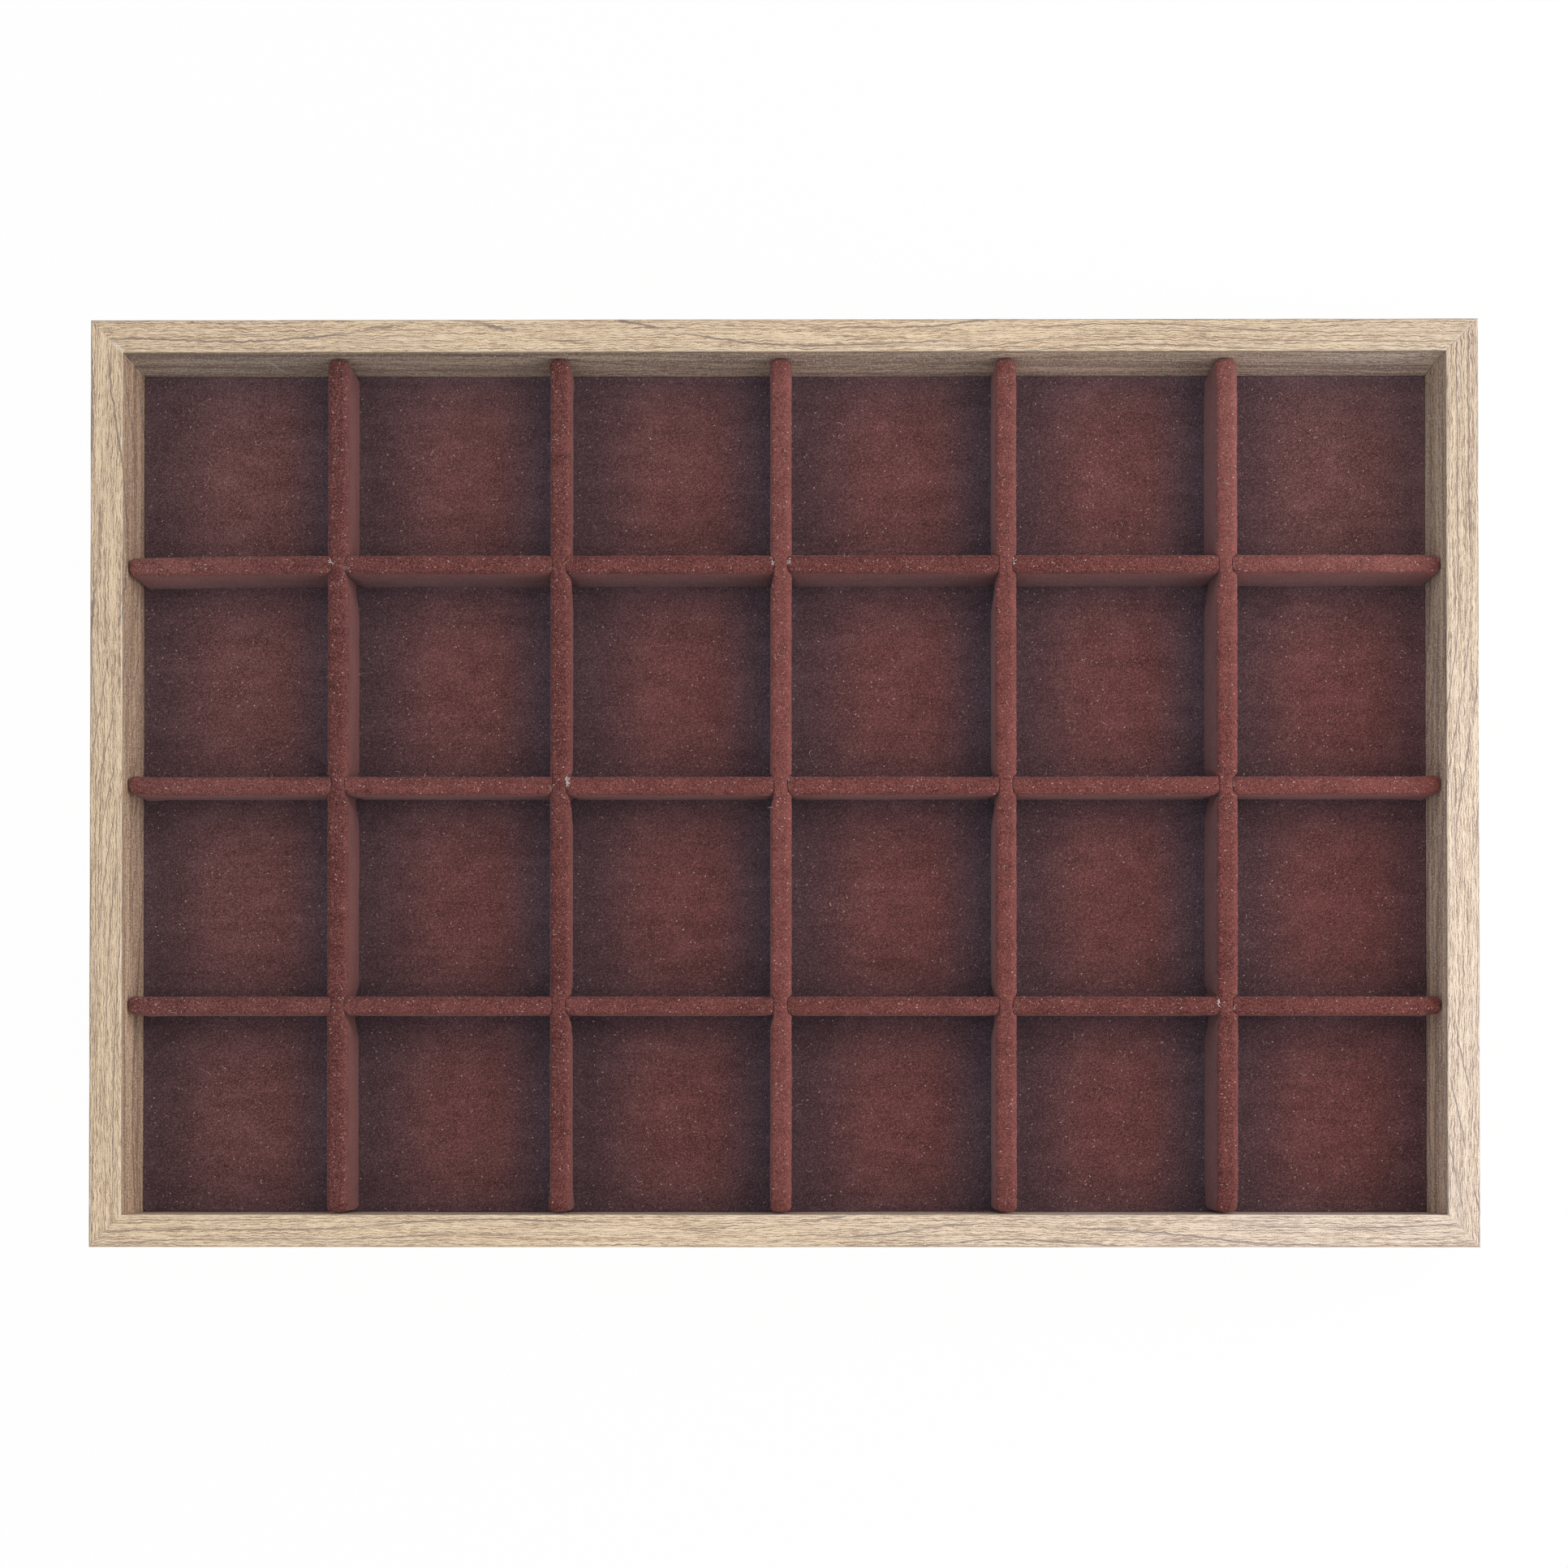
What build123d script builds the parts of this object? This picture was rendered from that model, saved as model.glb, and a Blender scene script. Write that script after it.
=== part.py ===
from build123d import *
import os

# A wooden display tray with a velvet floor and a lift-out grid of velvet
# covered dividers. Millimetres, +Z up. The origin is the middle of the tray's
# footprint, at the underside of the rails. +X runs along the long side, to
# the right of somebody who stands in front of the tray, and +Y runs to the back.

# Frame
tray_length = 350.0
tray_width = 234.0
tray_height = 30.0
rail_width = 8.2
foil_thickness = 0.3
foil_edge_radius = 0.5
foil_lift = 0.2

# Bottom board in its rabbet, and what holds the frame together
board_thickness = 2.5
board_recess = 0.5
rabbet_lip = 4.2
board_play = 0.1
pin_inset = 6.2
pin_radius = 0.5
pin_head_radius = 1.0
pin_head_height = 0.3
pin_length = 11.0
front_pin_pitch = 70.0
front_pins = 5
side_pin_pitch = 80.0
side_pins = 3
v_nail_inset = 4.9
v_nail_leg = 4.5
v_nail_thickness = 0.6
v_nail_height = 7.0
v_nail_opening = 35.0

# Velvet floor
card_thickness = 1.5
floor_pile = 0.8
floor_gap = 0.3
floor_corner_radius = 1.2
floor_edge_radius = 0.4

# Divider grid
divider_top = 24.5
divider_lift = 0.05
wall_gap = 0.4
core_thickness = 2.6
long_thickness = 5.3
cross_thickness = 4.6
top_cover = 1.1
end_cover = 1.3
top_edge_radius = 1.5
end_edge_radius = 1.7
slot_width = 3.6
pinched_thickness = 3.4
pinch_margin = 0.6
pinch_slope = 1.2
half_lap_play = 0.15

# How far each divider stands off its even spacing, from left to right and
# from front to back.
long_drift = (-0.3, -0.6, -0.8, -0.1, -0.8)
cross_drift = (-0.3, 0.2, 0.6)

# Heights and lengths that follow
board_bottom = board_recess
board_top = board_bottom + board_thickness
card_top = board_top + card_thickness
floor_top = card_top + floor_pile
divider_bottom = floor_top + divider_lift
divider_middle = (divider_bottom + divider_top) / 2
inner_length = tray_length - 2 * rail_width
inner_width = tray_width - 2 * rail_width


def even_places(inner_size, thickness, drifts):
    """Centre lines that leave equal compartments, each moved by its own drift."""
    count = len(drifts)
    compartment = (inner_size - count * thickness) / (count + 1)
    pitch = compartment + thickness
    first = -inner_size / 2 + compartment + thickness / 2
    return [first + i * pitch + drift for i, drift in enumerate(drifts)]


long_places = even_places(inner_length, long_thickness, long_drift)
cross_places = even_places(inner_width, cross_thickness, cross_drift)

# Each rail: its name, the direction along it, the direction from it to the
# middle of the tray, its length, and how far its outer face is from the middle.
x_direction = Vector(1, 0, 0)
y_direction = Vector(0, 1, 0)
z_direction = Vector(0, 0, 1)
rails = (
    ("front", x_direction, y_direction, tray_length, tray_width / 2),
    ("right", y_direction, -x_direction, tray_width, tray_length / 2),
    ("back", -x_direction, -y_direction, tray_length, tray_width / 2),
    ("left", -y_direction, x_direction, tray_width, tray_length / 2),
)


def save(piece, name):
    """Labels a finished piece and writes it under its own name."""
    piece.part.label = name
    export_step(piece.part, f"parts/{name}.step")


# Fasteners
def corner_v_nail_group():
    """One V-shaped steel nail across each mitre, driven up from the rabbet."""
    x_corner = tray_length / 2 - v_nail_inset
    y_corner = tray_width / 2 - v_nail_inset
    corners = (
        (-x_corner, -y_corner, 45),
        (x_corner, -y_corner, 135),
        (x_corner, y_corner, 225),
        (-x_corner, y_corner, 315),
    )
    with BuildPart() as nails:
        with BuildSketch(Plane.XY.offset(board_top)):
            for x, y, inward in corners:
                for turn in (-v_nail_opening, v_nail_opening):
                    with Locations(Location((x, y, 0), (0, 0, inward + turn))):
                        Rectangle(
                            v_nail_leg,
                            v_nail_thickness,
                            align=(Align.MIN, Align.CENTER),
                        )
        extrude(amount=v_nail_height)
    return nails


def base_pin_group():
    """Panel pins that go up through the edge of the board into the rails."""
    row_spacing = tray_width - 2 * pin_inset
    column_spacing = tray_length - 2 * pin_inset
    front_and_back = GridLocations(front_pin_pitch, row_spacing, front_pins, 2)
    left_and_right = GridLocations(column_spacing, side_pin_pitch, 2, side_pins)
    with BuildPart() as pins:
        with BuildSketch(Plane.XY.offset(board_bottom - pin_head_height)):
            for places in (front_and_back, left_and_right):
                with places:
                    Circle(pin_head_radius)
        extrude(amount=pin_head_height)
        with BuildSketch(Plane.XY.offset(board_bottom)):
            for places in (front_and_back, left_and_right):
                with places:
                    Circle(pin_radius)
        extrude(amount=pin_length)
    return pins


# Frame
def mitred_plan(length, outer):
    """Corners of a rail's plan, along it and across it, with a mitre at each end."""
    return (
        (-length / 2, -outer),
        (length / 2, -outer),
        (length / 2 - rail_width, -outer + rail_width),
        (-length / 2 + rail_width, -outer + rail_width),
    )


def rail_core(along, inward, length, outer, fasteners):
    """The board inside a rail, rabbeted underneath, with its nail and pin holes."""
    outer_face = -outer + foil_thickness
    inner_face = -outer + rail_width - foil_thickness
    lip_face = -outer + rabbet_lip
    core_top = tray_height - foil_thickness
    with BuildPart() as core:
        with BuildSketch(Plane((0, 0, 0), x_dir=inward, z_dir=along)):
            with BuildLine():
                Polyline(
                    (outer_face, 0),
                    (lip_face, 0),
                    (lip_face, board_top),
                    (inner_face, board_top),
                    (inner_face, core_top),
                    (outer_face, core_top),
                    close=True,
                )
            make_face()
        extrude(amount=length / 2, both=True)
        with BuildSketch(Plane((0, 0, 0), x_dir=along, z_dir=z_direction)):
            with BuildLine():
                Polyline(*mitred_plan(length, outer), close=True)
            make_face()
        extrude(amount=tray_height, mode=Mode.INTERSECT)
        for group in fasteners:
            add(group.part, mode=Mode.SUBTRACT)
    return core


def rail_foil(along, inward, length, outer):
    """The wood-grain foil, folded over the outer face, the top and the inner face."""
    outer_face = -outer
    inner_face = -outer + rail_width
    with BuildPart() as foil:
        with BuildSketch(Plane((0, 0, 0), x_dir=inward, z_dir=along)) as section:
            with BuildLine():
                Polyline(
                    (outer_face, foil_lift),
                    (outer_face, tray_height),
                    (inner_face, tray_height),
                    (inner_face, board_top),
                    (inner_face - foil_thickness, board_top),
                    (inner_face - foil_thickness, tray_height - foil_thickness),
                    (outer_face + foil_thickness, tray_height - foil_thickness),
                    (outer_face + foil_thickness, foil_lift),
                    close=True,
                )
            make_face()
            fillet(section.vertices().group_by(Axis.Y)[-1], radius=foil_edge_radius)
        extrude(amount=length / 2, both=True)
        with BuildSketch(Plane((0, 0, 0), x_dir=along, z_dir=z_direction)):
            with BuildLine():
                Polyline(*mitred_plan(length, outer), close=True)
            make_face()
        extrude(amount=tray_height, mode=Mode.INTERSECT)
    return foil


def bottom_board(pins):
    """The hardboard bottom, set up into the rabbet and drilled for its pins."""
    board_inset = rabbet_lip + board_play
    with BuildPart() as board:
        with BuildSketch(Plane.XY.offset(board_bottom)):
            Rectangle(tray_length - 2 * board_inset, tray_width - 2 * board_inset)
        extrude(amount=board_thickness)
        add(pins.part, mode=Mode.SUBTRACT)
    return board


# Velvet floor
def floor_pad_card():
    """The stiff card that the floor velvet is stretched over."""
    cover = 2 * (floor_gap + floor_pile)
    with BuildPart() as card:
        with BuildSketch(Plane.XY.offset(board_top)):
            Rectangle(inner_length - cover, inner_width - cover)
        extrude(amount=card_thickness)
    return card


def floor_pad_velvet(card):
    """The floor velvet, over the card and down its edges."""
    with BuildPart() as velvet:
        with BuildSketch(Plane.XY.offset(board_top)):
            RectangleRounded(
                inner_length - 2 * floor_gap,
                inner_width - 2 * floor_gap,
                floor_corner_radius,
            )
        extrude(amount=floor_top - board_top)
        top_face = velvet.faces().sort_by(Axis.Z)[-1]
        fillet(top_face.edges(), radius=floor_edge_radius)
        add(card.part, mode=Mode.SUBTRACT)
    return velvet


# Dividers
def divider_slots(stations, slots_open_up):
    """Boxes to cut from a divider that lies along X, one slot at each station."""
    if slots_open_up:
        slot_bottom = divider_middle - half_lap_play
        slot_top = tray_height
    else:
        slot_bottom = 0.0
        slot_top = divider_middle + half_lap_play
    with BuildPart() as slots:
        with BuildSketch(Plane.XY.offset(slot_bottom)):
            for station in stations:
                with Locations((station, 0)):
                    Rectangle(slot_width, rail_width)
        extrude(amount=slot_top - slot_bottom)
    return slots


def divider_core(length, slots):
    """The card core of a divider that lies along X at the middle of the tray."""
    with BuildPart() as core:
        with BuildSketch(Plane.XY.offset(divider_bottom)):
            Rectangle(length - 2 * end_cover, core_thickness)
        extrude(amount=divider_top - top_cover - divider_bottom)
        add(slots.part, mode=Mode.SUBTRACT)
    return core


def divider_velvet(length, thickness, stations, pinch_span, pinch_top, slots, core):
    """The velvet folded over a divider core, pressed thin where two dividers cross."""
    side = thickness / 2
    pinched = pinched_thickness / 2
    with BuildPart() as velvet:
        with BuildSketch(Plane.XY.offset(divider_bottom)):
            RectangleRounded(length, thickness, end_edge_radius)
        extrude(amount=divider_top - divider_bottom)
        with BuildSketch(Plane.YZ) as section:
            with Locations((0, divider_bottom)):
                Rectangle(
                    thickness,
                    divider_top - divider_bottom,
                    align=(Align.CENTER, Align.MIN),
                )
            fillet(section.vertices().group_by(Axis.Y)[-1], radius=top_edge_radius)
        extrude(amount=length / 2, both=True, mode=Mode.INTERSECT)
        with BuildSketch(Plane.XY.offset(divider_bottom)):
            for station in stations:
                for face in (-1, 1):
                    with BuildLine():
                        Polyline(
                            (station - pinch_span / 2, face * pinched),
                            (station + pinch_span / 2, face * pinched),
                            (station + pinch_span / 2 + pinch_slope, face * side),
                            (station - pinch_span / 2 - pinch_slope, face * side),
                            close=True,
                        )
                    make_face()
        extrude(amount=pinch_top - divider_bottom, mode=Mode.SUBTRACT)
        add(slots.part, mode=Mode.SUBTRACT)
        add(core.part, mode=Mode.SUBTRACT)
    return velvet


def placed(piece, location):
    """A finished divider piece, moved from the middle of the tray to its place."""
    with BuildPart() as moved:
        add(piece.part.moved(location))
    return moved


os.makedirs("parts", exist_ok=True)

v_nails = corner_v_nail_group()
base_pins = base_pin_group()
save(v_nails, "corner_v_nails")
save(base_pins, "base_pins")

for side, along, inward, length, outer in rails:
    save(rail_core(along, inward, length, outer, (v_nails, base_pins)), f"rail_core_{side}")
    save(rail_foil(along, inward, length, outer), f"rail_foil_{side}")

save(bottom_board(base_pins), "base_board")

floor_card = floor_pad_card()
save(floor_card, "floor_card")
save(floor_pad_velvet(floor_card), "floor_velvet")

# The cross dividers run from side to side. Their slots open upwards, and below
# the slots their velvet is pressed thin to fit between the slots' cheeks.
cross_length = inner_length - 2 * wall_gap
cross_pinch_span = pinched_thickness + pinch_margin
for i, y in enumerate(cross_places, start=1):
    slots = divider_slots(long_places, slots_open_up=True)
    core = divider_core(cross_length, slots)
    velvet = divider_velvet(
        cross_length,
        cross_thickness,
        long_places,
        cross_pinch_span,
        divider_middle + half_lap_play,
        slots,
        core,
    )
    place = Location((0, y, 0))
    save(placed(core, place), f"cross_divider_core_{i}")
    save(placed(velvet, place), f"cross_divider_velvet_{i}")

# The long dividers run from front to back and are whole along the top. Their
# slots open downwards over the cross dividers.
long_length = inner_width - 2 * wall_gap
long_pinch_span = cross_thickness + pinch_margin
for i, x in enumerate(long_places, start=1):
    slots = divider_slots(cross_places, slots_open_up=False)
    core = divider_core(long_length, slots)
    velvet = divider_velvet(
        long_length,
        long_thickness,
        cross_places,
        long_pinch_span,
        tray_height,
        slots,
        core,
    )
    place = Location((x, 0, 0), (0, 0, 90))
    save(placed(core, place), f"long_divider_core_{i}")
    save(placed(velvet, place), f"long_divider_velvet_{i}")
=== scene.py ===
"""The looks of the jewelry display tray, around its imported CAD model.

It is laid out as an add-on and run as a script. Lengths are in metres unless a
name says otherwise, in the frame of the CAD: +X to the right, +Y to the back.
"""

import math

import bpy
import numpy as np
from bpy.props import FloatProperty
from bpy.props import FloatVectorProperty
from bpy.props import IntProperty
from bpy.props import PointerProperty
from mathutils import Matrix
from mathutils import Vector


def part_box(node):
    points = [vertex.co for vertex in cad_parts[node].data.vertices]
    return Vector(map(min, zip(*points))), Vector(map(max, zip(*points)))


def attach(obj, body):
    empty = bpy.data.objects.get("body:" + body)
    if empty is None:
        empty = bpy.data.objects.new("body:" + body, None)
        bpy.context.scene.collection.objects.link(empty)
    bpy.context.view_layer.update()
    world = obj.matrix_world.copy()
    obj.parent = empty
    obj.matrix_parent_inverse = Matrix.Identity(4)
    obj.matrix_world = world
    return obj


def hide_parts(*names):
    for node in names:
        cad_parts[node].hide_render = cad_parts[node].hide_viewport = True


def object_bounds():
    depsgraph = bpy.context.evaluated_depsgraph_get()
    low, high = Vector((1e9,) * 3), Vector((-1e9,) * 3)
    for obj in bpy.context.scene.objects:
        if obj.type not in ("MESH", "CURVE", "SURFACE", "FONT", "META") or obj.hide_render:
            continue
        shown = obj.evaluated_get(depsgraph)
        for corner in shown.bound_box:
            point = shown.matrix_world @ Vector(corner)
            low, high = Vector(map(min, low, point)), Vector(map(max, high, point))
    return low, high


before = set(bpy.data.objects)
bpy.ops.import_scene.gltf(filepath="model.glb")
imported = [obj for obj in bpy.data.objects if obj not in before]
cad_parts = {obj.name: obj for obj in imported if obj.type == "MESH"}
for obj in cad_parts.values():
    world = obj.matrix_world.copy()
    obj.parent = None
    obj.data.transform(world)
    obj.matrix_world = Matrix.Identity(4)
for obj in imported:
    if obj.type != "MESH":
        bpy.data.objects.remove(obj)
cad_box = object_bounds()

bl_info = {
    "name": "Jewelry display tray",
    "version": (1, 0, 0),
    "blender": (4, 5, 0),
    "location": "3D View > Sidebar > Tray",
    "description": "Builds the looks of a wooden display tray with velvet dividers",
    "category": "Object",
}

MM = 0.001
# Farther than anything in the tray is from anything else
FAR = 1.0
LONG_DIVIDERS = (1, 2, 3, 4, 5)
CROSS_DIVIDERS = (1, 2, 3)
RAIL_SIDES = ("front", "right", "back", "left")
# Loose threads where the card is cut: their number by long divider, cross divider and side, -1 for the left
FRAYED = {(2, 2, 1): 40, (1, 3, -1): 9, (3, 3, -1): 9, (3, 3, 1): 12, (4, 3, 1): 9, (5, 1, -1): 18}


def middle(node, axis):
    """Middle of a CAD node's box along one axis."""
    low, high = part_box(node)
    return (low[axis] + high[axis]) / 2


def extent(node, axis):
    """Size of a CAD node's box along one axis."""
    low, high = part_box(node)
    return high[axis] - low[axis]


# Places and sizes that the frame gives
long_places = [middle(f"long_divider_velvet_{i}", 0) for i in LONG_DIVIDERS]
cross_places = [middle(f"cross_divider_velvet_{i}", 1) for i in CROSS_DIVIDERS]
divider_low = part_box("long_divider_velvet_1")[0][2]
divider_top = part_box("long_divider_velvet_1")[1][2]
divider_middle = (divider_low + divider_top) / 2
core_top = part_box("long_divider_core_1")[1][2]
core_half = extent("long_divider_core_1", 0) / 2
long_half = extent("long_divider_velvet_1", 0) / 2
long_length = extent("long_divider_velvet_1", 1)
cross_half = extent("cross_divider_velvet_1", 1) / 2
cross_length = extent("cross_divider_velvet_1", 0)
end_cover = (long_length - extent("long_divider_core_1", 1)) / 2
floor_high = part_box("floor_velvet")[1]
card_low, card_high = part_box("floor_card")
tray_low, tray_high = cad_box
tray_length = tray_high[0] - tray_low[0]
tray_width = tray_high[1] - tray_low[1]
rim_height = tray_high[2]
foil_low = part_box("rail_foil_front")[0][2]
foil_rise = rim_height - foil_low
board_top = card_low[2]

# Sizes of the CAD's source that the frame doesn't give
rail_width = 8.2 * MM
foil_thickness = 0.3 * MM
slot_half = 1.8 * MM
half_lap_play = 0.15 * MM
pinched_half = 1.76 * MM

# How fast the waves of the growth lines and the pressed lines turn, in radians to the metre
GROWTH_LINE_TURN = 1700.0
PRESSED_LINE_TURN = 10600.0

# Sizes of the finish
FOIL_ROUNDING = 0.45 * MM
SCRATCH_ALONG = 130.5 * MM
SCRATCH_DOWN = 14.5 * MM
SCRATCH_SLOPE = math.radians(11)
CROWN_POWER = 2.7
END_POWER = 2.8
FLOOR_CELL = 1.0 * MM
FLOOR_ROUNDING = 0.2 * MM
CORNER_REACH = 1.0 * MM
CORNER_DEPTH = 0.4 * MM
# The grain's print is widened by leaving this share of the inner face's height out of its place
INNER_GRAIN_LEFT_OUT = 0.70
# Share of the pattern's cells that hold a stray fibre
STRAYS_ON_FLOOR = 0.02
STRAYS_ON_DIVIDERS = 0.05

# Seeds of the random draws
FOIL_SEEDS = (100, 200)
FLOOR_SEEDS = (301, 302, 303)
CROSS_DIVIDER_SEED = 400
LONG_DIVIDER_SEED = 500
LINT_SEED = 700


# Numbers as whole arrays
def smooth_step(value, start, end):
    """0 before start and 1 after end, joined by the curve 3t^2 - 2t^3."""
    t = np.clip((value - start) / (end - start), 0, 1)
    return t * t * (3 - 2 * t)


def lattice_noise(a, b, cell_a, cell_b, seed):
    """Random values from -1 to 1 on a lattice of cells, joined smoothly between its points."""
    u = (a - a.min()) / cell_a
    v = (b - b.min()) / cell_b
    table = np.random.default_rng(seed).uniform(-1, 1, (int(u.max()) + 2, int(v.max()) + 2))
    i = u.astype(int)
    j = v.astype(int)
    fu = smooth_step(u - i, 0, 1)
    fv = smooth_step(v - j, 0, 1)
    low = table[i, j] * (1 - fu) + table[i + 1, j] * fu
    high = table[i, j + 1] * (1 - fu) + table[i + 1, j + 1] * fu
    return low * (1 - fv) + high * fv


def filled(breaks, step):
    """Every break, with evenly spaced numbers no more than a step apart between them."""
    spans = [
        np.linspace(a, b, max(2, math.ceil((b - a) / step) + 1))[:-1]
        for a, b in zip(breaks[:-1], breaks[1:])
    ]
    return np.concatenate(spans + [np.array(breaks[-1:])])


# Meshes
def new_piece(name, points, faces, body, material, values=None, sharp_degrees=50):
    """A mesh object from points and lists of quads, triangles or one large face.

    faces is a list of arrays, each with one face in a row. Points that no face
    uses are dropped. values gives each point's attributes by name."""
    corners = np.concatenate([f.ravel() for f in faces])
    sizes = np.concatenate([np.full(len(f), f.shape[1]) for f in faces])
    used, corners = np.unique(corners, return_inverse=True)
    points = points[used]
    mesh = bpy.data.meshes.new(name)
    mesh.vertices.add(len(points))
    mesh.vertices.foreach_set("co", points.astype(np.float32).ravel())
    mesh.loops.add(len(corners))
    mesh.loops.foreach_set("vertex_index", corners.astype(np.int32).ravel())
    mesh.polygons.add(len(sizes))
    starts = np.concatenate([[0], np.cumsum(sizes)[:-1]])
    mesh.polygons.foreach_set("loop_start", starts.astype(np.int32))
    mesh.update(calc_edges=True)
    mesh.validate()
    mesh.shade_smooth()
    mesh.set_sharp_from_angle(angle=math.radians(sharp_degrees))
    for key, value in (values or {}).items():
        kind = "FLOAT_VECTOR" if value.ndim == 2 else "FLOAT"
        attribute = mesh.attributes.new(key, kind, "POINT")
        field = "vector" if value.ndim == 2 else "value"
        attribute.data.foreach_set(field, value[used].astype(np.float32).ravel())
    piece = bpy.data.objects.new(name, mesh)
    bpy.context.scene.collection.objects.link(piece)
    mesh.materials.append(material)
    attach(piece, body)
    return piece


def shell_faces(index, offset, present, closed_tips):
    """Faces of a thin shell between an outer grid of points and an inner one.

    index numbers the outer grid's points, and the inner grid's are offset
    further on. Each cell that is present has an outer and an inner face, and
    a rim joins the two wherever a present cell borders an absent one."""
    outer = index
    inner = index + offset

    def quads(a, b, c, d, mask):
        return np.stack([a[mask], b[mask], c[mask], d[mask]], axis=1)

    low_left = (slice(None, -1), slice(None, -1))
    low_right = (slice(1, None), slice(None, -1))
    high_left = (slice(None, -1), slice(1, None))
    high_right = (slice(1, None), slice(1, None))
    faces = [
        quads(outer[low_left], outer[low_right], outer[high_right], outer[high_left], present),
        quads(inner[low_left], inner[high_left], inner[high_right], inner[low_right], present),
    ]
    padded = np.pad(present, 1)
    above = padded[1:-1, 1:]
    below = padded[1:-1, :-1]
    o1, o2 = outer[:-1, :], outer[1:, :]
    i1, i2 = inner[:-1, :], inner[1:, :]
    faces.append(quads(o2, o1, i1, i2, above & ~below))
    faces.append(quads(o1, o2, i2, i1, below & ~above))
    right = padded[1:, 1:-1]
    left = padded[:-1, 1:-1]
    opens = right & ~left
    closes = left & ~right
    if closed_tips:
        opens[0] = opens[-1] = closes[0] = closes[-1] = False
    o1, o2 = outer[:, :-1], outer[:, 1:]
    i1, i2 = inner[:, :-1], inner[:, 1:]
    faces.append(quads(o1, o2, i2, i1, opens))
    faces.append(quads(o2, o1, i1, i2, closes))
    return [f for f in faces if len(f)]


# Shader nodes
class Net:
    """Adds nodes to one tree. A value that is a socket is linked, any other is set."""

    def __init__(self, tree):
        self.tree = tree

    def add(self, kind, inputs=(), **settings):
        made = self.tree.nodes.new("ShaderNode" + kind)
        for key, value in settings.items():
            setattr(made, key, value)
        for key, value in dict(inputs).items():
            self.put(made.inputs[key], value)
        return made

    def put(self, socket, value):
        if isinstance(value, bpy.types.NodeSocket):
            self.tree.links.new(value, socket)
        elif value is not None:
            socket.default_value = value

    def maths(self, operation, *values):
        made = self.add("Math", operation=operation)
        for i, value in enumerate(values):
            self.put(made.inputs[i], value)
        return made.outputs[0]

    def mixed(self, factor, first, second, blend="MIX"):
        made = self.add("Mix", data_type="RGBA", blend_type=blend)
        for i, value in ((0, factor), (6, first), (7, second)):
            self.put(made.inputs[i], value)
        return made.outputs[2]

    def ramp(self, value, start, end, low=0.0, high=1.0):
        inputs = {"Value": value, "From Min": start, "From Max": end, "To Min": low, "To Max": high}
        return self.add("MapRange", inputs, interpolation_type="SMOOTHSTEP").outputs[0]

    def swing(self, value, strength, onto, centre=0.5):
        """onto plus strength times how far the value is from its centre."""
        return self.maths("MULTIPLY_ADD", self.maths("SUBTRACT", value, centre), strength, onto)

    def stretched(self, vector, scale, turn=0.0, shift=0.0):
        """A place turned about Z and then multiplied by a scale along each axis, in waves to the metre."""
        sizes = [1 / number for number in scale]
        inputs = {"Vector": vector, "Scale": sizes, "Rotation": (0, 0, turn), "Location": (shift,) * 3}
        return self.add("Mapping", inputs, vector_type="TEXTURE").outputs[0]

    def noise(self, vector, scale=1.0, detail=2.0, roughness=0.5):
        inputs = {"Vector": vector, "Scale": scale, "Detail": detail, "Roughness": roughness}
        return self.add("TexNoise", inputs).outputs[0]

    def split(self, vector):
        """The three parts of a vector."""
        return self.add("SeparateXYZ", {"Vector": vector}).outputs

    def attribute(self, name, part="Fac"):
        """One of the mesh's own attributes."""
        return self.add("Attribute", attribute_name=name).outputs[part]

    def bump(self, height, strength, distance):
        """A normal tilted by the slope of a height."""
        inputs = {"Height": height, "Strength": strength, "Distance": distance}
        return self.add("Bump", inputs).outputs[0]

    def principled(self, surface, inputs):
        """A Principled shader on the material's output."""
        self.put(surface, self.add("BsdfPrincipled", inputs).outputs[0])


def new_group(name, inputs, outputs):
    """An empty shader node group with named inputs and outputs, and the net that fills it."""
    tree = bpy.data.node_groups.new(name, "ShaderNodeTree")
    for label, kind in inputs:
        tree.interface.new_socket(label, in_out="INPUT", socket_type="NodeSocket" + kind)
    for label, kind in outputs:
        tree.interface.new_socket(label, in_out="OUTPUT", socket_type="NodeSocket" + kind)
    net = Net(tree)
    given = tree.nodes.new("NodeGroupInput").outputs
    return tree, net, given, tree.nodes.new("NodeGroupOutput").inputs


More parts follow.
